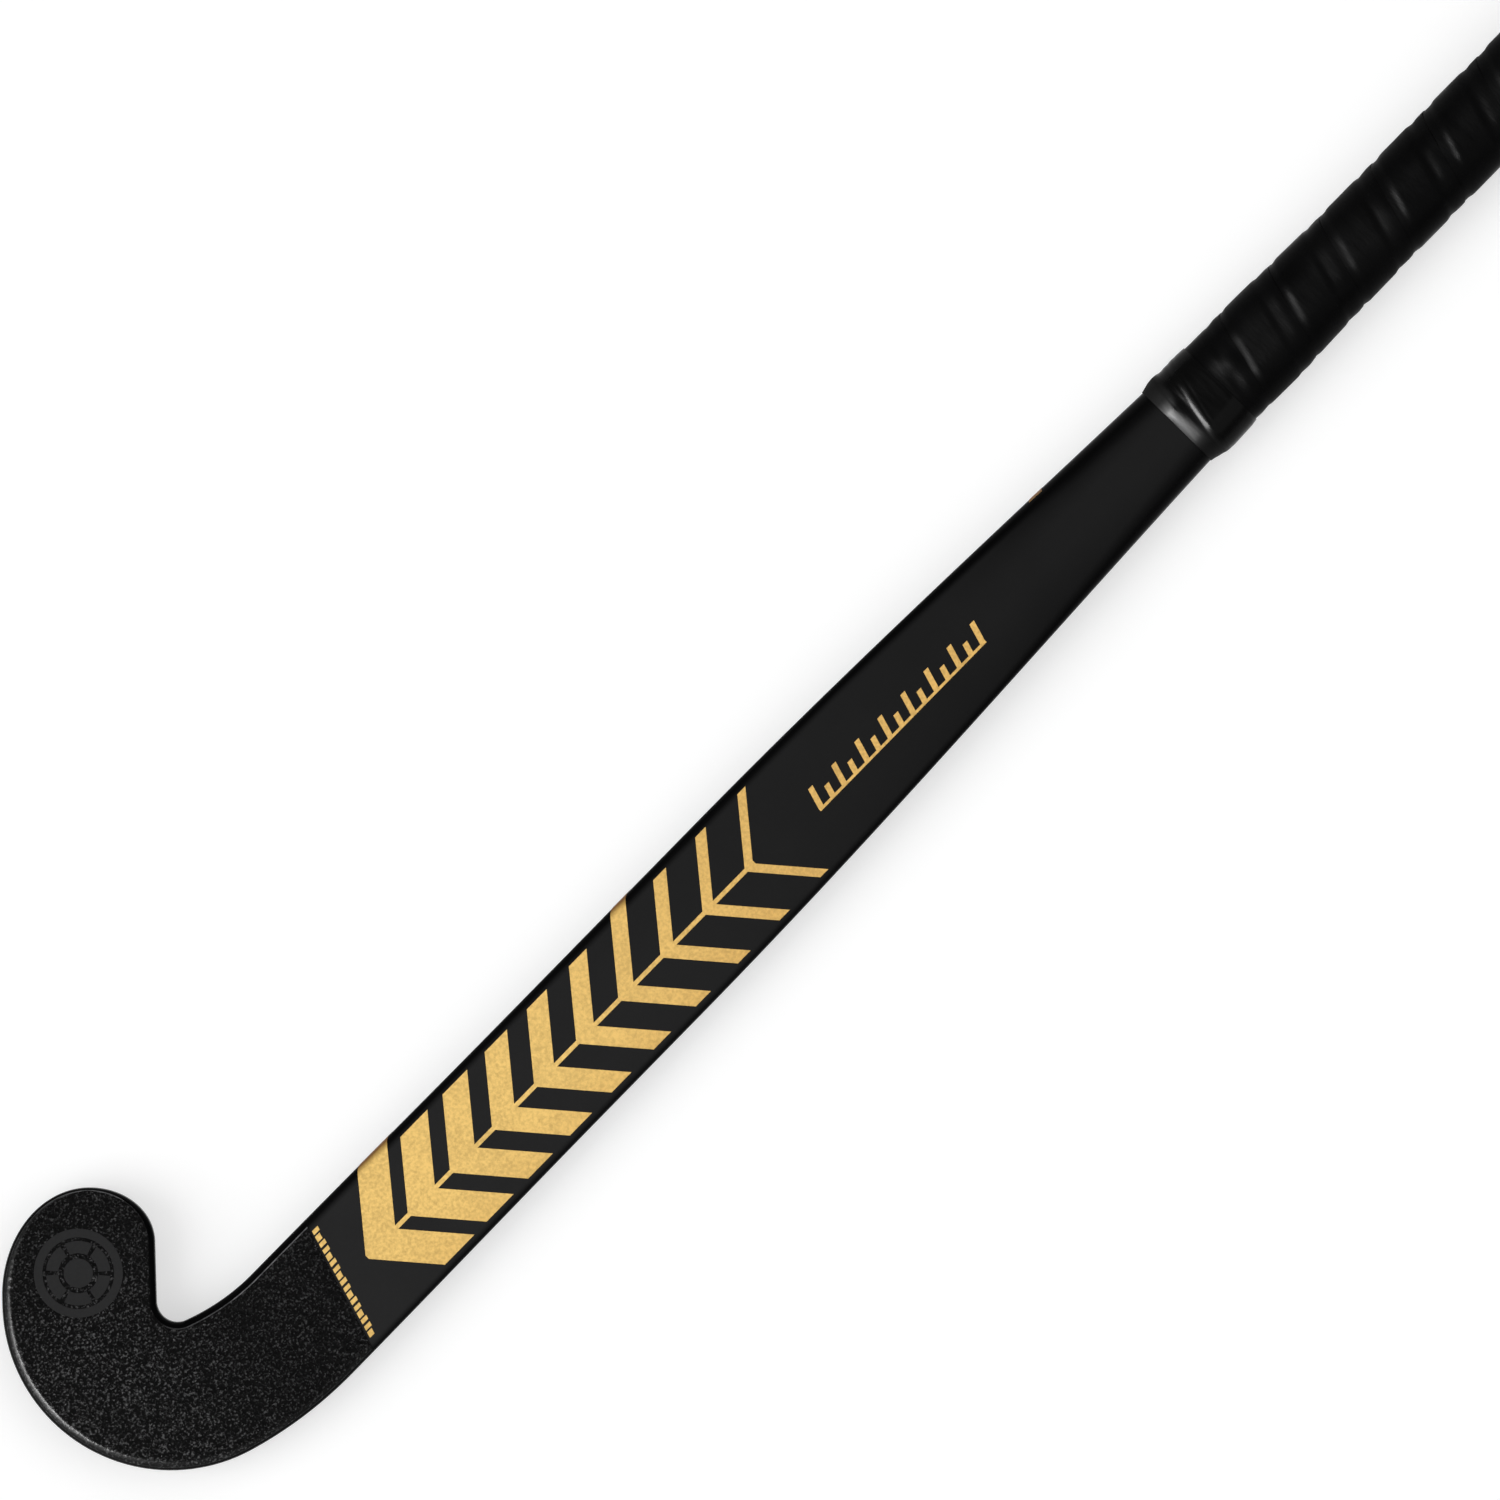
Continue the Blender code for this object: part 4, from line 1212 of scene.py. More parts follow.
@dataclass
class Shell:
    """The laminate: head and shaft in one hollow skin."""

    form: StickForm
    face_steps: int = 10
    back_steps: int = 12
    columns: int = 12
    bore_step: float = 0.02
    bore_every: int = 3
    least_radius: float = 0.0006

    def half_ring(self, edge: Edge, inset: float) -> list[Vector]:
        """Points over one long edge, from the face to the back.

        Args:
            edge: The edge's place and outward direction.
            inset: Depth inside the outline.

        Returns:
            The points.
        """
        place, outward = edge
        form = self.form
        face, back = (max(self.least_radius, radius - inset) for radius in form.edge_radii(place.x))
        high = form.half_thickness(place.x) - inset
        points = []
        for radius, count, way in ((face, self.face_steps, 1.0), (back, self.back_steps, -1.0)):
            for step in range(count + 1):
                turn = QUARTER * step / count
                turn = turn if way > 0.0 else QUARTER - turn
                flat = place - outward * (inset + radius * (1.0 - math.sin(turn)))
                height = form.middle_height(flat.x) + way * (high - radius * (1.0 - math.cos(turn)))
                points.append(Vector((flat.x, flat.y, height)))
        return points

    def ring(self, rung: tuple[Edge, Edge], inset: float) -> list[Vector]:
        """One closed section of the skin.

        Args:
            rung: The rung that it stands on.
            inset: Depth inside the outline.

        Returns:
            Its points.
        """
        outer, inner = (self.half_ring(edge, inset) for edge in rung)
        shares = [index / self.columns for index in range(1, self.columns)]
        over_face = [inner[0].lerp(outer[0], share) for share in shares]
        over_back = [outer[-1].lerp(inner[-1], share) for share in shares]
        return [*reversed(inner), *over_face, *outer, *over_back]

    def build(self) -> Piece:
        """Builds and dresses the skin, its bore included.

        Returns:
            The skin.
        """
        draft, ladder = Draft(self.form), Ladder(self.form)
        start, end = self.form.shell_end(), self.form.hook_start
        hook = ladder.hook()
        outer_rungs = ladder.shaft(start, end) + hook
        inner_rungs = ladder.shaft(start, end, self.bore_step) + hook[1 : -1 : self.bore_every] + hook[-1:]
        outside = [draft.row(self.ring(rung, 0.0)) for rung in outer_rungs]
        inside = [draft.row(self.ring(rung, self.form.wall)) for rung in inner_rungs]
        draft.skin(outside, closed=True)
        draft.skin(inside, closed=True)
        draft.strip(outside[0], inside[0], closed=True)
        return settle(draft.make("laminate_skin"), MattLacquer(), "laminate_shell")


@dataclass
class HeadTrim:
    """The grained film on the playing face, the mark at the toe and the dashes along the film's end."""

    form: StickForm
    inner_inset: float = 0.0022
    outer_inset: float = 0.0009
    inset_blend: float = 0.0320
    film_thickness: float = 0.00042
    film_bead: float = 0.00042
    film_seat: float = 0.00001
    film_end: float = 0.1045
    film_slope: float = math.tan(math.radians(17))
    end_rows: int = 34
    hook_rows: int = 190
    toe_rows: int = 40
    columns: int = 90
    evenness: float = 0.75
    relief: float = 0.00010
    relief_size: float = 0.0016
    relief_inset: float = 0.0012
    fine_relief: Pair = (2.3, 0.6)
    # Painted highlight: which faces of the film's border take the pale edge finish, up the neck and leaning
    # towards the toe side.
    border_from: float = -0.4150
    border_upright: Pair = (0.05, 0.85)
    border_inward: float = 0.2
    mark_back: float = 0.0300
    mark_thickness: float = 0.00018
    mark_bands: tuple[tuple[float, float, int], ...] = (
        (0.0, 0.0052, 1),
        (0.0070, 0.0114, 6),
        (0.0126, 0.0157, 1),
    )
    mark_gap: float = 0.0018
    mark_turn: float = math.radians(14)
    mark_step: float = math.radians(3)
    mark_seat: float = 0.00010
    dash_count: int = 17
    dash_pitch: float = 0.00244
    dash_height: float = 0.0028
    dash_offset: float = 0.0012
    dash_shares: Pair = (0.62, 1.0)
    third_dash_shares: Pair = (0.86, 0.8)

    def film_rows(self) -> list[tuple[Vector, Vector, float]]:
        """Rows across the film, from its slanted end to the toe's tip.

        Returns:
            Each row's outer point, its inner point and the inner one's inset.
        """
        form = self.form
        drop = (form.neck_half - self.outer_inset) * self.film_slope
        rows = []
        for index in range(self.end_rows):
            share = index / self.end_rows
            low, high = (mix(self.film_end + way * drop, form.hook_start, share) for way in (-1.0, 1.0))
            outer = Vector((low, self.outer_inset - form.half_width(low, Side.OUTER)))
            inner = Vector((high, form.half_width(high, Side.TOE) - self.inner_inset))
            rows.append((outer, inner, self.inner_inset))
        ladder = Ladder(form, hook_steps=self.hook_rows, toe_steps=self.toe_rows)
        rungs = ladder.shaft(form.hook_start, form.hook_start)[:1] + ladder.hook()
        tip = rungs[-1][1][0]
        for outer, inner in rungs:
            left = (inner[0] - tip).length
            inset = mix(self.outer_inset, self.inner_inset, ease(left, 0.0, self.inset_blend))
            rows.append((outer[0] - outer[1] * self.outer_inset, inner[0] - inner[1] * inset, inset))
        return rows

    def film_column(self, row: tuple[Vector, Vector, float], index: int) -> Edge:
        """One point of the film's underside with the point of its top over it.

        Args:
            row: The film's row.
            index: Number of the column.

        Returns:
            The two points.
        """
        outer, inner, inner_inset = row
        width = (inner - outer).length
        share = 0.5 - 0.5 * math.cos(math.pi * index / self.columns)
        share = mix(share, index / self.columns, self.evenness)
        place = outer.lerp(inner, share)
        rim = min(share, 1.0 - share) * width
        from_outer = self.outer_inset + share * width
        from_inner = inner_inset + (1.0 - share) * width
        edge_x = outer.x if from_outer < from_inner else inner.x
        base = self.form.face_height(place, min(from_outer, from_inner), edge_x) + self.film_seat
        bead = min(1.0, rim / self.film_bead)
        spot = Vector((place.x, place.y, 0.0)) / self.relief_size
        bump = noise.noise(spot) + self.fine_relief[1] * noise.noise(self.fine_relief[0] * spot)
        top = self.film_thickness * math.sqrt(1.0 - (1.0 - bead) ** 2)
        top += self.relief * bump * ease(rim, 0.0, self.relief_inset)
        return Vector((place.x, place.y, base)), Vector((place.x, place.y, base + max(0.0, top)))

    def build_film(self) -> Piece:
        """Builds the film with a rounded rim, real relief in its top and a painted highlight on its cut
        border where that leans towards the toe side.

        Returns:
            The film.
        """
        draft = Draft(self.form)
        columns = range(self.columns + 1)
        rows = [[self.film_column(row, index) for index in columns] for row in self.film_rows()]
        draft.plate(*([[points[level] for points in row] for row in rows] for level in (0, 1)))
        piece = draft.make("head_film", smooth=math.radians(50))
        settle(piece, GrainFilm(), "control_film")
        piece.data.materials.append(CutEdge().material())
        # Painted highlight: border faces up the neck that lean towards the toe side take the pale edge
        # finish.
        low, high = self.border_upright
        for polygon in piece.data.polygons:
            normal = polygon.normal
            on_border = low < normal.z < high and normal.y > self.border_inward
            if on_border and polygon.center.x > self.border_from:
                polygon.material_index = 1
        return piece

    def add_arc(self, draft: Draft, band: Pair, angles: Pair) -> None:
        """Adds a disc, a ring or a part of a ring to the mark.

        Args:
            draft: The mark's mesh.
            band: Its inner and outer radius.
            angles: Where it starts and ends.
        """
        centre = self.form.middle_line(self.form.hook_length() - self.mark_back)[0]
        (inner, outer), bevel = band, 0.5 * self.mark_thickness
        rows = []
        for radius, share in (
            (inner, 0.0),
            (inner, 0.5 if inner else 1.0),
            (inner + bevel * bool(inner), 1.0),
            (outer - bevel, 1.0),
            (outer, 0.5),
            (outer, 0.0),
        ):
            points = []
            for angle in spaced(*angles, self.mark_step):
                place = centre + radius * Vector((math.cos(angle), math.sin(angle)))
                height = self.form.face_height(place) + self.film_thickness + self.mark_seat
                points.append(Vector((place.x, place.y, height + share * self.mark_thickness)))
            rows.append(draft.row(points))
        draft.skin([*(rows if inner else rows[1:]), rows[0]])
        if not math.isclose(angles[1] - angles[0], TURN):
            draft.face([row[0] for row in rows])
            draft.face([row[-1] for row in rows])

    def build_mark(self) -> Piece:
        """Builds the plain ring mark at the toe: a disc, a band of six arcs and a rim.

        Returns:
            The mark.
        """
        draft = Draft(self.form)
        for inner, outer, arcs in self.mark_bands:
            gap = self.mark_gap / outer if arcs > 1 else 0.0
            for arc in range(arcs):
                start = self.mark_turn + TURN * arc / arcs + 0.5 * gap
                self.add_arc(draft, (inner, outer), (start, start + TURN / arcs - gap))
        return settle(draft.make("toe_ring_mark"), SmoothFoil(), "toe_mark")

    def build_dashes(self) -> Piece:
        """Builds the fine gold dashes along the film's end.

        Returns:
            The dashes.
        """
        foil = Foil(self.form)
        for index in range(self.dash_count):
            wide, tall = self.dash_shares if index % 3 else self.third_dash_shares
            half, tall = 0.5 * wide * self.dash_pitch, tall * self.dash_height
            middle = (index - 0.5 * (self.dash_count - 1)) * self.dash_pitch
            low, high = middle - half, middle + half
            start, end = (self.film_end + self.dash_offset + y * self.film_slope for y in (low, high))
            foil.tile((start, low), (start + tall, low), (end + tall, high), (end, high))
        return foil.finish("film_end_dashes", "border_line")


@dataclass
class Foil:
    """A thin gold foil laid on the shaft, cut in the plane that the shaft's surface rolls out to."""

    form: StickForm
    under: float = 0.00001
    thickness: float = 0.00007
    cell: float = 0.0016
    long_cell: float = 0.0064
    draft: Draft = field(init=False)

    def __post_init__(self) -> None:
        """Starts the foil's mesh."""
        self.draft = Draft(self.form)

    def wrapped(self, x: float, reach: float, lift: float) -> Vector:
        """A point over the shaft's surface.

        Args:
            x: Place up the shaft.
            reach: Distance from the axis along the face, then over the edge and down the side wall.
            lift: Distance out from the surface.

        Returns:
            The point in the stick's own place.
        """
        form = self.form
        side = Side.TOE if reach >= 0.0 else Side.OUTER
        radius = form.edge_radii(x)[0]
        half, top = form.half_width(x, side), form.middle_height(x) + form.half_thickness(x)
        turn = (abs(reach) - half + radius) / radius
        if turn <= 0.0:
            return Vector((x, reach, top + lift))
        if turn >= QUARTER:
            return Vector((x, side.value * (half + lift), top - radius - radius * (turn - QUARTER)))
        out = half - radius + (radius + lift) * math.sin(turn)
        return Vector((x, side.value * out, top - radius + (radius + lift) * math.cos(turn)))

    def tile(self, near: Pair, after: Pair, beyond: Pair, far: Pair) -> None:
        """Adds a four-cornered plate, whose corners are places up the shaft, each with its reach.

        Args:
            near: First corner.
            after: Corner along the plate's length from the first.
            beyond: Corner across from there.
            far: Corner across from the first.
        """
        longest = max(math.dist(near, after), math.dist(far, beyond))
        rows = max(1, math.ceil(math.dist(near, far) / self.cell))
        columns = max(1, math.ceil(longest / self.long_cell))
        levels = []
        for lift in (self.under, self.under + self.thickness):
            grid = []
            for row in range(rows + 1):
                start, end = between(near, far, row / rows), between(after, beyond, row / rows)
                places = [between(start, end, step / columns) for step in range(columns + 1)]
                grid.append([self.wrapped(x, reach, lift) for x, reach in places])
            levels.append(grid)
        self.draft.plate(*levels)

    def finish(self, name: str, node: str) -> Piece:
        """Makes the foil's piece in place of a CAD node."""
        return settle(self.draft.make(name), GoldFoil(), node)


@dataclass
class ShaftGraphics:
    """Plain gold bars and ticks on the shaft's face, and a glint on its toe-side edge."""

    form: StickForm
    zone_start: float = 0.119
    pitch: float = 0.0212
    count: int = 10
    widest: float = 0.0148
    narrowest: float = 0.0040
    slope: float = math.tan(math.radians(40))
    stripe: float = 0.0016
    margin: float = 0.0034
    over_edge: tuple[int, ...] = (0, 6)
    over_reach: float = 0.0034
    tick_start: float = 0.343
    tick_pitch: float = 0.0058
    tick_count: int = 15
    tick_width: float = 0.0022
    tick_height: float = 0.0086
    tick_line: float = 0.0010
    tick_slope: float = math.tan(math.radians(17))
    short_tick: float = 0.62
    glint: tuple[Pair, ...] = ((0.4720, 0.0004), (0.4780, 0.0001), (0.4790, 0.0036), (0.4730, 0.0038))

    def build_bars(self) -> Piece:
        """Builds the bars that lean away from a middle stripe and thin out up the shaft.

        Returns:
            The bars.
        """
        foil = Foil(self.form)
        half = 0.5 * self.stripe
        for index in range(self.count):
            start = self.zone_start + index * self.pitch
            end = start + mix(self.widest, self.narrowest, index / (self.count - 1))
            for side in Side:
                reach = self.form.half_width(start, side) - self.margin
                if side is Side.TOE and index in self.over_edge:
                    reach += self.margin + self.over_reach
                lean = (reach - half) * self.slope
                low, high = side.value * half, side.value * reach
                foil.tile((start, low), (end, low), (end + lean, high), (start + lean, high))
        start, end = self.zone_start, self.zone_start + (self.count - 1) * self.pitch + self.narrowest
        foil.tile((start, -half), (end, -half), (end, half), (start, half))
        return foil.finish("gold_bars", "shaft_bars")

    def build_ticks(self) -> Piece:
        """Builds the small ticks that stand on a fine line.

        Returns:
            The ticks.
        """
        foil = Foil(self.form)
        foot = -0.5 * self.tick_height
        line_top = foot + self.tick_line
        for index in range(self.tick_count):
            start = self.tick_start + index * self.tick_pitch
            end = start + self.tick_width
            tall = self.tick_height * (self.short_tick if index % 2 else 1.0)
            lean, top = (tall - self.tick_line) * self.tick_slope, foot + tall
            foil.tile((start, line_top), (end, line_top), (end + lean, top), (start + lean, top))
        foil.tile((self.tick_start, foot), (end, foot), (end, line_top), (self.tick_start, line_top))
        return foil.finish("gold_ticks", "tick_row")

    def build_glint(self) -> Piece:
        """Builds the short gold glint that rolls over the toe-side edge.

        Returns:
            The glint.
        """
        foil = Foil(self.form)
        edge = self.form.half_width(self.glint[0][0], Side.TOE)
        foil.tile(*((x, edge + past) for x, past in self.glint))
        return foil.finish("gold_glint", "side_flash")


@dataclass
class Grip:
    """The wound grip tape: one strip, whose count of turns is a half over the middle of the face."""

    form: StickForm
    tape_width: float = 0.0300
    tape_start: float = 0.5310
    spare: float = 0.0015
    edge_thickness: float = 0.00030
    inner_thickness: float = 0.00025
    inner_ramp: Pair = (0.0, 0.003)
    full_thickness: float = 0.00050
    full_ramp: Pair = (0.0060, 0.0092)
    layer_gap: float = 0.00005
    bridge: Pair = (-0.0030, 0.0004)
    first_lap: float = 0.45
    first_lap_end: Pair = (0.546, 0.556)
    outer_tightness: float = 0.7
    toe_tightness: float = 0.45
    first_seam: float = 0.5610
    seam_pitch: float = 0.0236
    seam_growth: float = 0.00035
    growth_turns: float = 5.0
    steps_per_turn: int = 96
    across: tuple[float, ...] = (
        0.0, 0.012, 0.03, 0.06, 0.10, 0.15, 0.20, 0.22, 0.24, 0.26, 0.28, 0.30, 0.32, 0.4, 0.5, 0.6,
        0.68, 0.70, 0.72, 0.74, 0.76, 0.78, 0.80, 0.83, 0.86, 0.89, 0.93, 0.965, 0.988, 1.0,
    )
    seat: Pair = (0.5490, 0.5770)
    seat_rise: Pair = (0.0001, 0.0010)
    outer_swell: Pair = (0.0010, 0.0006)
    outer_swell_change: Pair = (0.572, 0.590)
    toe_swell: Pair = (0.0001, 0.0008)
    toe_swell_change: Pair = (0.595, 0.670)
    swell_start: Pair = (0.5290, 0.5380)
    swell_end: Pair = (0.860, 0.915)
    lump: Pair = (0.5562, 0.520)
    lump_size: Pair = (0.0036, 0.050)
    lump_rise: float = 0.0011
    least_pull: float = 0.25
    pull_waves: Pair = (0.026, 2.1)
    pull_range: Pair = (-0.35, 0.40)
    slack_waves: Pair = (0.014, 1.3)
    slack_depth: float = 0.00011
    fine_slack: Pair = (2.7, 0.00004)

    def seam_x(self, turns: float) -> float:
        """Place of the tape's upper edge.

        Args:
            turns: Turns wound so far.

        Returns:
            The place up the shaft.
        """
        run = turns - 0.5
        bent = min(run, self.growth_turns)
        last_pitch = self.seam_pitch + 2.0 * self.seam_growth * self.growth_turns
        climb = self.seam_pitch * bent + self.seam_growth * bent * bent
        return self.first_seam + climb + last_pitch * (run - bent)

    def thickness(self, inside: float) -> float:
        """The tape's thickness at a distance inside its nearer edge."""
        inner, full = ease(inside, *self.inner_ramp), ease(inside, *self.full_ramp)
        return self.edge_thickness + self.inner_thickness * inner + self.full_thickness * full

    def layers(self, x: float, turns: float) -> Pair:
        """Heights of the tape's two faces over the laminate.

        Args:
            x: Place up the shaft.
            turns: Turns wound so far.

        Returns:
            The height of its underside and of its top.
        """
        upper = self.seam_x(turns)
        inside = min(upper - x, x - upper + self.tape_width)
        below = x - self.seam_x(turns + 1.0) + self.tape_width
        lift = 0.0
        if below > self.bridge[0]:
            under = self.thickness(min(max(below, 0.0), 0.5 * self.tape_width)) + self.layer_gap
            lift = under * ease(below, *self.bridge) * mix(self.first_lap, 1.0, ease(x, *self.first_lap_end))
            tightness = self.outer_tightness if math.sin(TURN * turns) > 0.0 else self.toe_tightness
            lift *= mix(tightness, 1.0, self.pull(x, turns))
        low = mix(*self.seat_rise, ease(x, *self.seat)) + self.swell(x, turns) + lift
        return low, low + self.thickness(max(0.0, inside))

    def swell(self, x: float, share: float) -> float:
        """How much the cushion fills out the grip's sides, and the folded tape end lifts its face.

        Args:
            x: Place up the shaft.
            share: Share of the way round.

        Returns:
            The height.
        """
        sideways = math.sin(TURN * share)
        if sideways > 0.0:
            most = mix(*self.outer_swell, ease(x, *self.outer_swell_change))
        else:
            most = mix(*self.toe_swell, ease(x, *self.toe_swell_change))
        sides = most * sideways**2 * ease(x, *self.swell_start) * (1.0 - ease(x, *self.swell_end))
        off_x = (x - self.lump[0]) / self.lump_size[0]
        off_share = (share % 1.0 - self.lump[1]) / self.lump_size[1]
        return sides + self.lump_rise * math.exp(-off_x * off_x - off_share * off_share)

    def pull(self, x: float, turns: float) -> float:
        """How much of the lap still stands up where the tape was drawn tight."""
        return mix(self.least_pull, 1.0, ease(wander(x, turns, self.pull_waves), *self.pull_range))

    def slack(self, x: float, turns: float) -> float:
        """Small unevenness of the hand-wound tape.

        Args:
            x: Place up the shaft.
            turns: Turns wound so far.

        Returns:
            The height that it adds to the tape's top.
        """
        finer, fine_depth = self.fine_slack
        coarse, fine = (wander(x, turns, self.slack_waves, times) for times in (1.0, finer))
        return self.slack_depth * coarse + fine_depth * fine

    def envelope(self, x: float, share: float) -> float:
        """Height of the grip's outside over the laminate.

        Args:
            x: Place up the shaft.
            share: Share of the way round.

        Returns:
            The height.
        """
        turns = share - 3.0
        while self.seam_x(turns) < x:
            turns += 1.0
        return self.layers(x, turns)[1]

    def build(self) -> Piece:
        """Builds the tape as one long strip, wound with its real lap.

        Returns:
            The tape.
        """
        draft, end = Draft(self.form), self.form.shell_end()
        turns = -1.0
        while self.seam_x(turns) < self.tape_start + self.spare:
            turns += 1.0 / self.steps_per_turn
        under, over = [], []
        while self.seam_x(turns) - self.tape_width < end - self.spare:
            seam = self.seam_x(turns)
            low_x, high_x = max(self.tape_start, seam - self.tape_width), min(end, seam)
            under.append([])
            over.append([])
            for share in self.across:
                x = mix(low_x, high_x, share)
                low, high = self.layers(x, turns)
                section = Section(self.form, x)
                under[-1].append(section.at(turns, low))
                over[-1].append(section.at(turns, high + self.slack(x, turns)))
            turns += 1.0 / self.steps_per_turn
        draft.plate(under, over)
        piece = draft.make("wound_grip_tape", smooth=math.radians(40))
        return settle(piece, GripSkin(), "grip_tape")


@dataclass
class Collar:
    """The stretched tape that rolls from the bare shaft over the end of the grip."""

    form: StickForm
    grip: Grip
    start: float = 0.5275
    end: float = 0.5490
    thickness: float = 0.00042
    least_thickness: float = 0.0002
    foot: float = 0.00028
    roll: float = 0.0062
    roll_power: float = 1.15
    reach: tuple[float, ...] = (-0.003, -0.0015, 0.0, 0.0015, 0.003)
    tape_inset: float = 0.0004
    pull_waves: Pair = (0.006, 1.4)
    pull_depth: float = 0.00004
    folds: tuple[Ramp, ...] = ((0.0104, 0.022, 0.0016, 0.00024), (0.0072, 0.010, 0.0013, -0.00024))
    front: Pair = (0.2, 0.8)
    end_share: float = 0.94
    end_round: float = 0.0016
    inner_rise: Pair = (0.00005, 0.0015)
    inner_rise_places: Pair = (0.5292, 0.5312)
    columns: int = 120
    step: float = 0.00035

    def outside(self, x: float, share: float) -> float:
        """Height of the collar's outside over the laminate.

        Args:
            x: Place up the shaft.
            share: Share of the way round.

        Returns:
            The height.
        """
        places = [max(x + step, self.grip.tape_start + self.tape_inset) for step in self.reach]
        near = [self.grip.envelope(place, share) for place in places]
        over = max(sum(near) / len(near), near[len(near) // 2]) + self.thickness
        rolled = min(1.0, max(0.0, (x - self.start) / self.roll))
        height = mix(self.foot, over, math.sin(QUARTER * rolled) ** self.roll_power)
        height += self.pull_depth * wander(x, share, self.pull_waves) * rolled
        off, front = share - 0.5, ease(math.cos(math.pi * (share - 0.5)), *self.front)
        for place, slant, width, rise in self.folds:
            height += front * rise * math.exp(-(((x - self.start - place - slant * off) / width) ** 2))
        return height * mix(1.0, self.end_share, ease(x, self.end - self.end_round, self.end))

    def inside(self, x: float, share: float) -> float:
        """Height of the collar's inside over the laminate."""
        free = mix(*self.inner_rise, ease(x, *self.inner_rise_places))
        return min(self.outside(x, share) - self.least_thickness, free)

    def build(self) -> Piece:
        """Builds the collar as a closed band.

        Returns:
            The collar.
        """
        draft = Draft(self.form)
        shares = [index / self.columns for index in range(self.columns)]
        levels = []
        for height in (self.inside, self.outside):
            rows = []
            for x in spaced(self.start, self.end, self.step):
                section = Section(self.form, x)
                rows.append(draft.row([section.at(share, height(x, share)) for share in shares]))
            draft.skin(rows, closed=True)
            levels.append(rows)
        for end in (0, -1):
            draft.strip(levels[0][end], levels[1][end], closed=True)
        piece = draft.make("collar_tape", smooth=math.radians(50))
        return settle(piece, CollarVinyl(), "finishing_tape")


@dataclass
class Cap:
    """The rubber cap with a rounded rim, a groove in its end and the peg inside.

    The foot and the groove are pairs of a distance along X and an offset from the laminate, and the peg's
    pairs are a distance along X and a radius.
    """

    form: StickForm
    cover: float = 0.0020
    foot: tuple[Pair, ...] = ((0.0, 0.0016), (0.0001, 0.0020))
    rim_radius: float = 0.0022
    rim_steps: int = 8
    groove: tuple[Pair, ...] = (
        (0.0, -0.0032), (0.0003, -0.0036), (0.0005, -0.0042),
        (0.0003, -0.0048), (0.0, -0.0052), (0.0, -0.0085),
    )
    columns: int = 96
    peg: tuple[Pair, ...] = ((0.001, 0.0040), (-0.0155, 0.0040), (-0.0160, 0.0035))
    peg_columns: int = 32

    def build(self) -> Piece:
        """Builds the cap and its peg.

        Returns:
            The cap.
        """
        form = self.form
        draft = Draft(form)
        low, top = form.length - form.cap_thickness, form.length
        stations = [(low + along, offset) for along, offset in self.foot]
        for step in range(self.rim_steps + 1):
            turn = QUARTER * step / self.rim_steps
            back, inward = 1.0 - math.sin(turn), 1.0 - math.cos(turn)
            stations.append((top - self.rim_radius * back, self.cover - self.rim_radius * inward))
        stations += [(top - along, offset) for along, offset in self.groove]
        section, rings = Section(form, low), []
        for x, offset in stations:
            points = [section.at(index / self.columns, offset) for index in range(self.columns)]
            rings.append(draft.row([Vector((x, point.y, point.z)) for point in points]))
        draft.tube(rings)
        middle = form.middle_height(form.shell_end())
        draft.tube([
            draft.row([Vector((low + along, y, middle + z)) for y, z in circle(radius, self.peg_columns)])
            for along, radius in self.peg
        ])
        return settle(draft.make("rubber_cap", smooth=math.radians(30)), CapRubber(), "butt_cap")


@dataclass
class InnerParts:
    """The CAD nodes that stay as they are, inside the laminate and under the grip."""

    nodes: dict[str, Piece]
    foam: Finish = Foam()
    dense: Finish = Foam("plug_foam", (0.70, 0.63, 0.42), cell=0.0005)
    braid: Finish = Woven()
    carbon: Finish = Woven("carbon_yarn", (0.020, 0.020, 0.022), 0.38, yarn=0.0011, cross=0.0, slant=0.0)
    cloth: Finish = Woven("cloth_tape", (0.55, 0.57, 0.60), 0.8, yarn=0.0007, slant=0.0)
    nylon: Finish = TubeFilm()
    damper: Finish = SoftRubber()
    cushion: Finish = SoftRubber("cushion_foam", (0.03, 0.03, 0.03), 0.9, pit=0.0005)

    def dress(self) -> None:
        """Gives each inner node its finish."""
        for finish, names in (
            (self.foam, ("head_core", "chamber_stopper_toe_side", "chamber_stopper_outer_side")),
            (self.braid, ("head_sock",)),
            (self.carbon, ("face_strap", "back_strap", "centre_web")),
            (self.nylon, ("chamber_tube_toe_side", "chamber_tube_outer_side")),
            (self.damper, ("damper_strip",)),
            (self.dense, ("butt_plug",)),
            (self.cushion, ("cushion_wrap",)),
            (self.cloth, ("anchor_tape_lower", "anchor_tape_upper")),
        ):
            for name in names:
                finish.dress(self.nodes[name])
                LOG.info("dressed %s", name)


# ---------------------------------------------------------------- studio


class Reach(Enum):
    """What a lamp lights, as diffuse and glossy: only matt colour, or only gloss."""

    MATT = (True, False)
    GLOSS = (False, True)


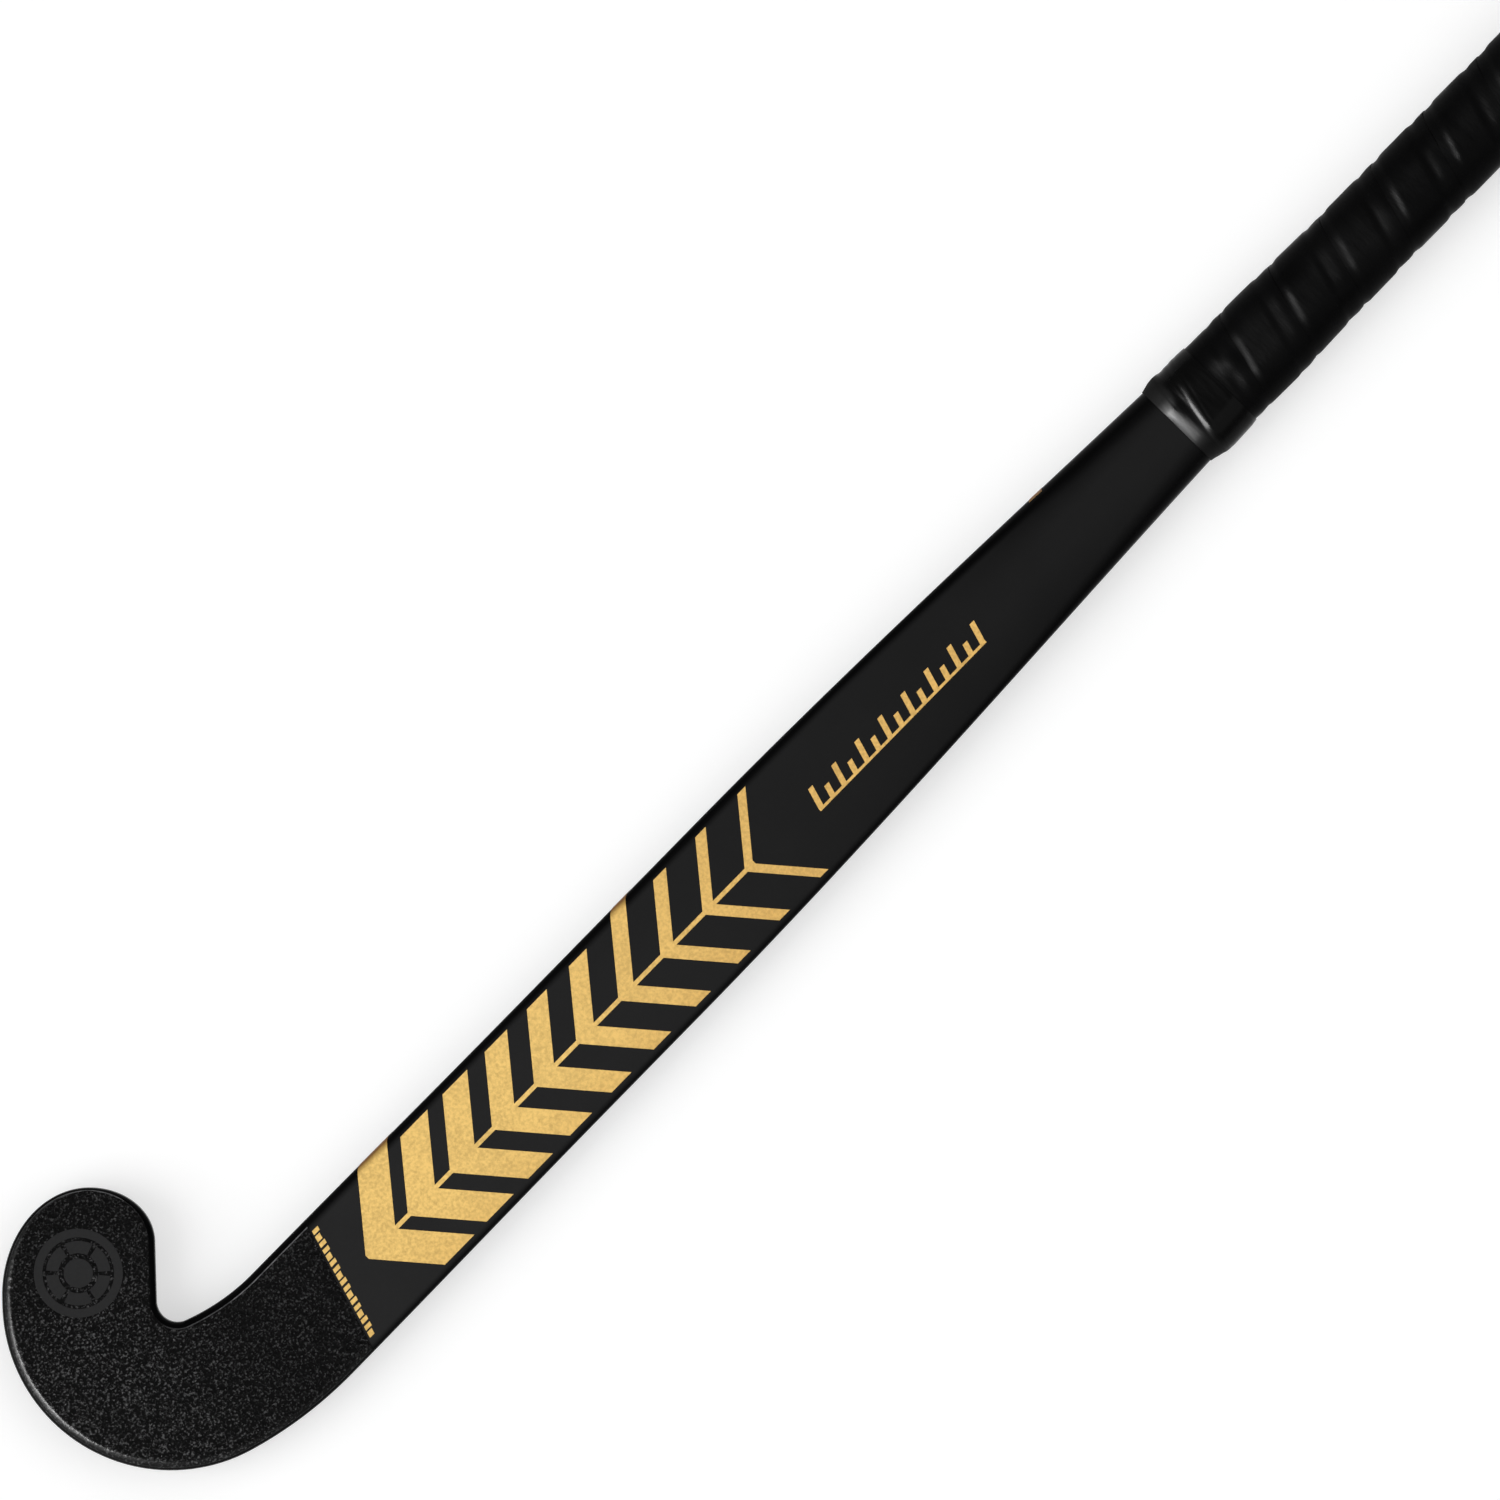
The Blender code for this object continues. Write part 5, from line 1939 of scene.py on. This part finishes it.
@dataclass(frozen=True)
class Lamp:
    """A distant soft lamp, whose angles are in degrees."""

    name: str
    azimuth: float
    elevation: float
    spread: float
    strength: float
    reach: Reach

    def toward(self) -> Vector:
        """The way to the lamp; its azimuth counts from +X towards +Y."""
        turn, lift = math.radians(self.azimuth), math.radians(self.elevation)
        return Vector((math.cos(turn) * math.cos(lift), math.sin(turn) * math.cos(lift), math.sin(lift)))

    def build(self) -> None:
        """Builds the lamp."""
        data = bpy.data.lights.new(self.name, "SUN")
        data.energy = self.strength
        data.angle = math.radians(self.spread)
        lamp = bpy.data.objects.new(self.name, data)
        lamp.rotation_mode = "QUATERNION"
        lamp.rotation_quaternion = self.toward().to_track_quat("Z", "Y")
        lamp.location = self.toward()
        lamp.visible_camera = False
        lamp.visible_diffuse, lamp.visible_glossy = self.reach.value
        bpy.context.scene.collection.objects.link(lamp)


@dataclass(frozen=True)
class StudioWhite(Finish):
    """White studio paint that still takes the stick's shadow."""

    name: str = "studio_white"
    colour: Triple = (0.62, 0.62, 0.62)
    roughness: float = 0.9
    specular: float = 0.0
    tones: Pair = (0.99, 1.0)
    cloud: Grain = Grain(0.6)
    glow: float = 0.50

    def lay_out(self, sheet: NodeSheet) -> None:
        """Lays out the paint and the glow that only the camera and mirror-like surfaces see.

        Args:
            sheet: The material's sheet.
        """
        self.paint(sheet, sheet.grain(self.cloud))
        sheet.hold("Roughness", self.roughness)
        rays = sheet.node("LightPath", {}).outputs
        seen = sheet.maths("MAXIMUM", rays["Is Camera Ray"], rays["Is Glossy Ray"])
        seen = sheet.maths("MAXIMUM", seen, rays["Is Transmission Ray"])
        sheet.hold("Emission Color", (1.0, 1.0, 1.0, 1.0))
        sheet.feed(sheet.times(seen, self.glow), "Emission Strength")


@dataclass
class Studio:
    """Camera, floor with a low cove round it, and lights."""

    aim: Triple = (-0.12255, -0.00645, 0.0220)
    turn: float = math.radians(-45.61)
    view_width: float = 0.5282
    lens: float = 800.0
    sensor: float = 36.0
    sight: float = 200.0
    floor_radii: tuple[float, ...] = (0.4, 0.8, 1.6, 4.0, 10.0, 26.0)
    floor_columns: int = 128
    cove_radius: float = 1.2
    cove_height: float = 2.4
    cove_steps: int = 8
    world: float = 0.34
    lamps: tuple[Lamp, ...] = (
        Lamp("key", 150.0, 45.0, 50.0, 1.15, Reach.MATT),
        Lamp("fill", -20.0, 50.0, 70.0, 0.5, Reach.MATT),
        Lamp("top", 0.0, 90.0, 80.0, 0.5, Reach.MATT),
        Lamp("streak", 180.0, 57.0, 14.0, 7.2, Reach.GLOSS),
        Lamp("rim", 158.0, 46.0, 22.0, 12.5, Reach.GLOSS),
        Lamp("outer_sheen", -80.0, 58.0, 50.0, 0.5, Reach.GLOSS),
    )

    def build_camera(self) -> None:
        """Builds the camera that looks straight down on the stick from far away."""
        data = bpy.data.cameras.new("camera")
        data.lens = self.lens
        data.sensor_width = self.sensor
        data.sensor_fit = "HORIZONTAL"
        data.clip_end = self.sight
        camera = bpy.data.objects.new("camera", data)
        camera.location = Vector(self.aim) + Vector((0.0, 0.0, self.view_width * self.lens / self.sensor))
        camera.rotation_euler = (0.0, 0.0, self.turn)
        bpy.context.scene.collection.objects.link(camera)
        bpy.context.scene.camera = camera

    def build_floor(self) -> None:
        """Builds the white floor, which curves up into a low wall all round."""
        draft = Draft(StickForm(seat=(0.0, 0.0, 0.0)))
        edge = self.floor_radii[-1]
        profile = [(radius, 0.0) for radius in self.floor_radii]
        for step in range(1, self.cove_steps + 1):
            turn = QUARTER * step / self.cove_steps
            rise = self.cove_radius * (1.0 - math.cos(turn))
            profile.append((edge + self.cove_radius * math.sin(turn), rise))
        profile.append((edge + self.cove_radius, self.cove_height))
        rings = [
            draft.row([Vector((x, y, height)) for x, y in circle(radius, self.floor_columns)])
            for radius, height in profile
        ]
        draft.face(rings[0])
        draft.skin(rings, closed=True)
        floor = draft.make("studio_floor")
        floor.data.flip_normals()
        StudioWhite().dress(floor)

    def build_world(self) -> None:
        """Sets a dim even grey round the studio."""
        world = bpy.data.worlds.new("studio")
        world.use_nodes = True
        background = world.node_tree.nodes["Background"]
        background.inputs["Color"].default_value = (self.world, self.world, self.world, 1.0)
        bpy.context.scene.world = world

    def build(self) -> None:
        """Builds the whole studio."""
        bpy.context.scene.view_settings.view_transform = "Standard"
        self.build_camera()
        self.build_floor()
        self.build_world()
        for lamp in self.lamps:
            lamp.build()
        LOG.info("studio ready with %d lamps", len(self.lamps))


def main() -> None:
    """Builds the stick's looks, piece by piece."""
    logging.basicConfig(level=logging.INFO, format="%(name)s: %(message)s")
    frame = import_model()
    form = StickForm()
    head, graphics, grip = HeadTrim(form), ShaftGraphics(form), Grip(form)
    makers: tuple[Callable[[], Piece], ...] = (
        Shell(form).build,
        head.build_film,
        head.build_mark,
        head.build_dashes,
        graphics.build_bars,
        graphics.build_ticks,
        graphics.build_glint,
        grip.build,
        Collar(form, grip).build,
        Cap(form).build,
    )
    for maker in makers:
        piece = maker()
        LOG.info("%s: %d faces", piece.name, len(piece.data.polygons))
    InnerParts(frame["nodes"]).dress()
    Studio().build()


if __name__ == "__main__":
    main()
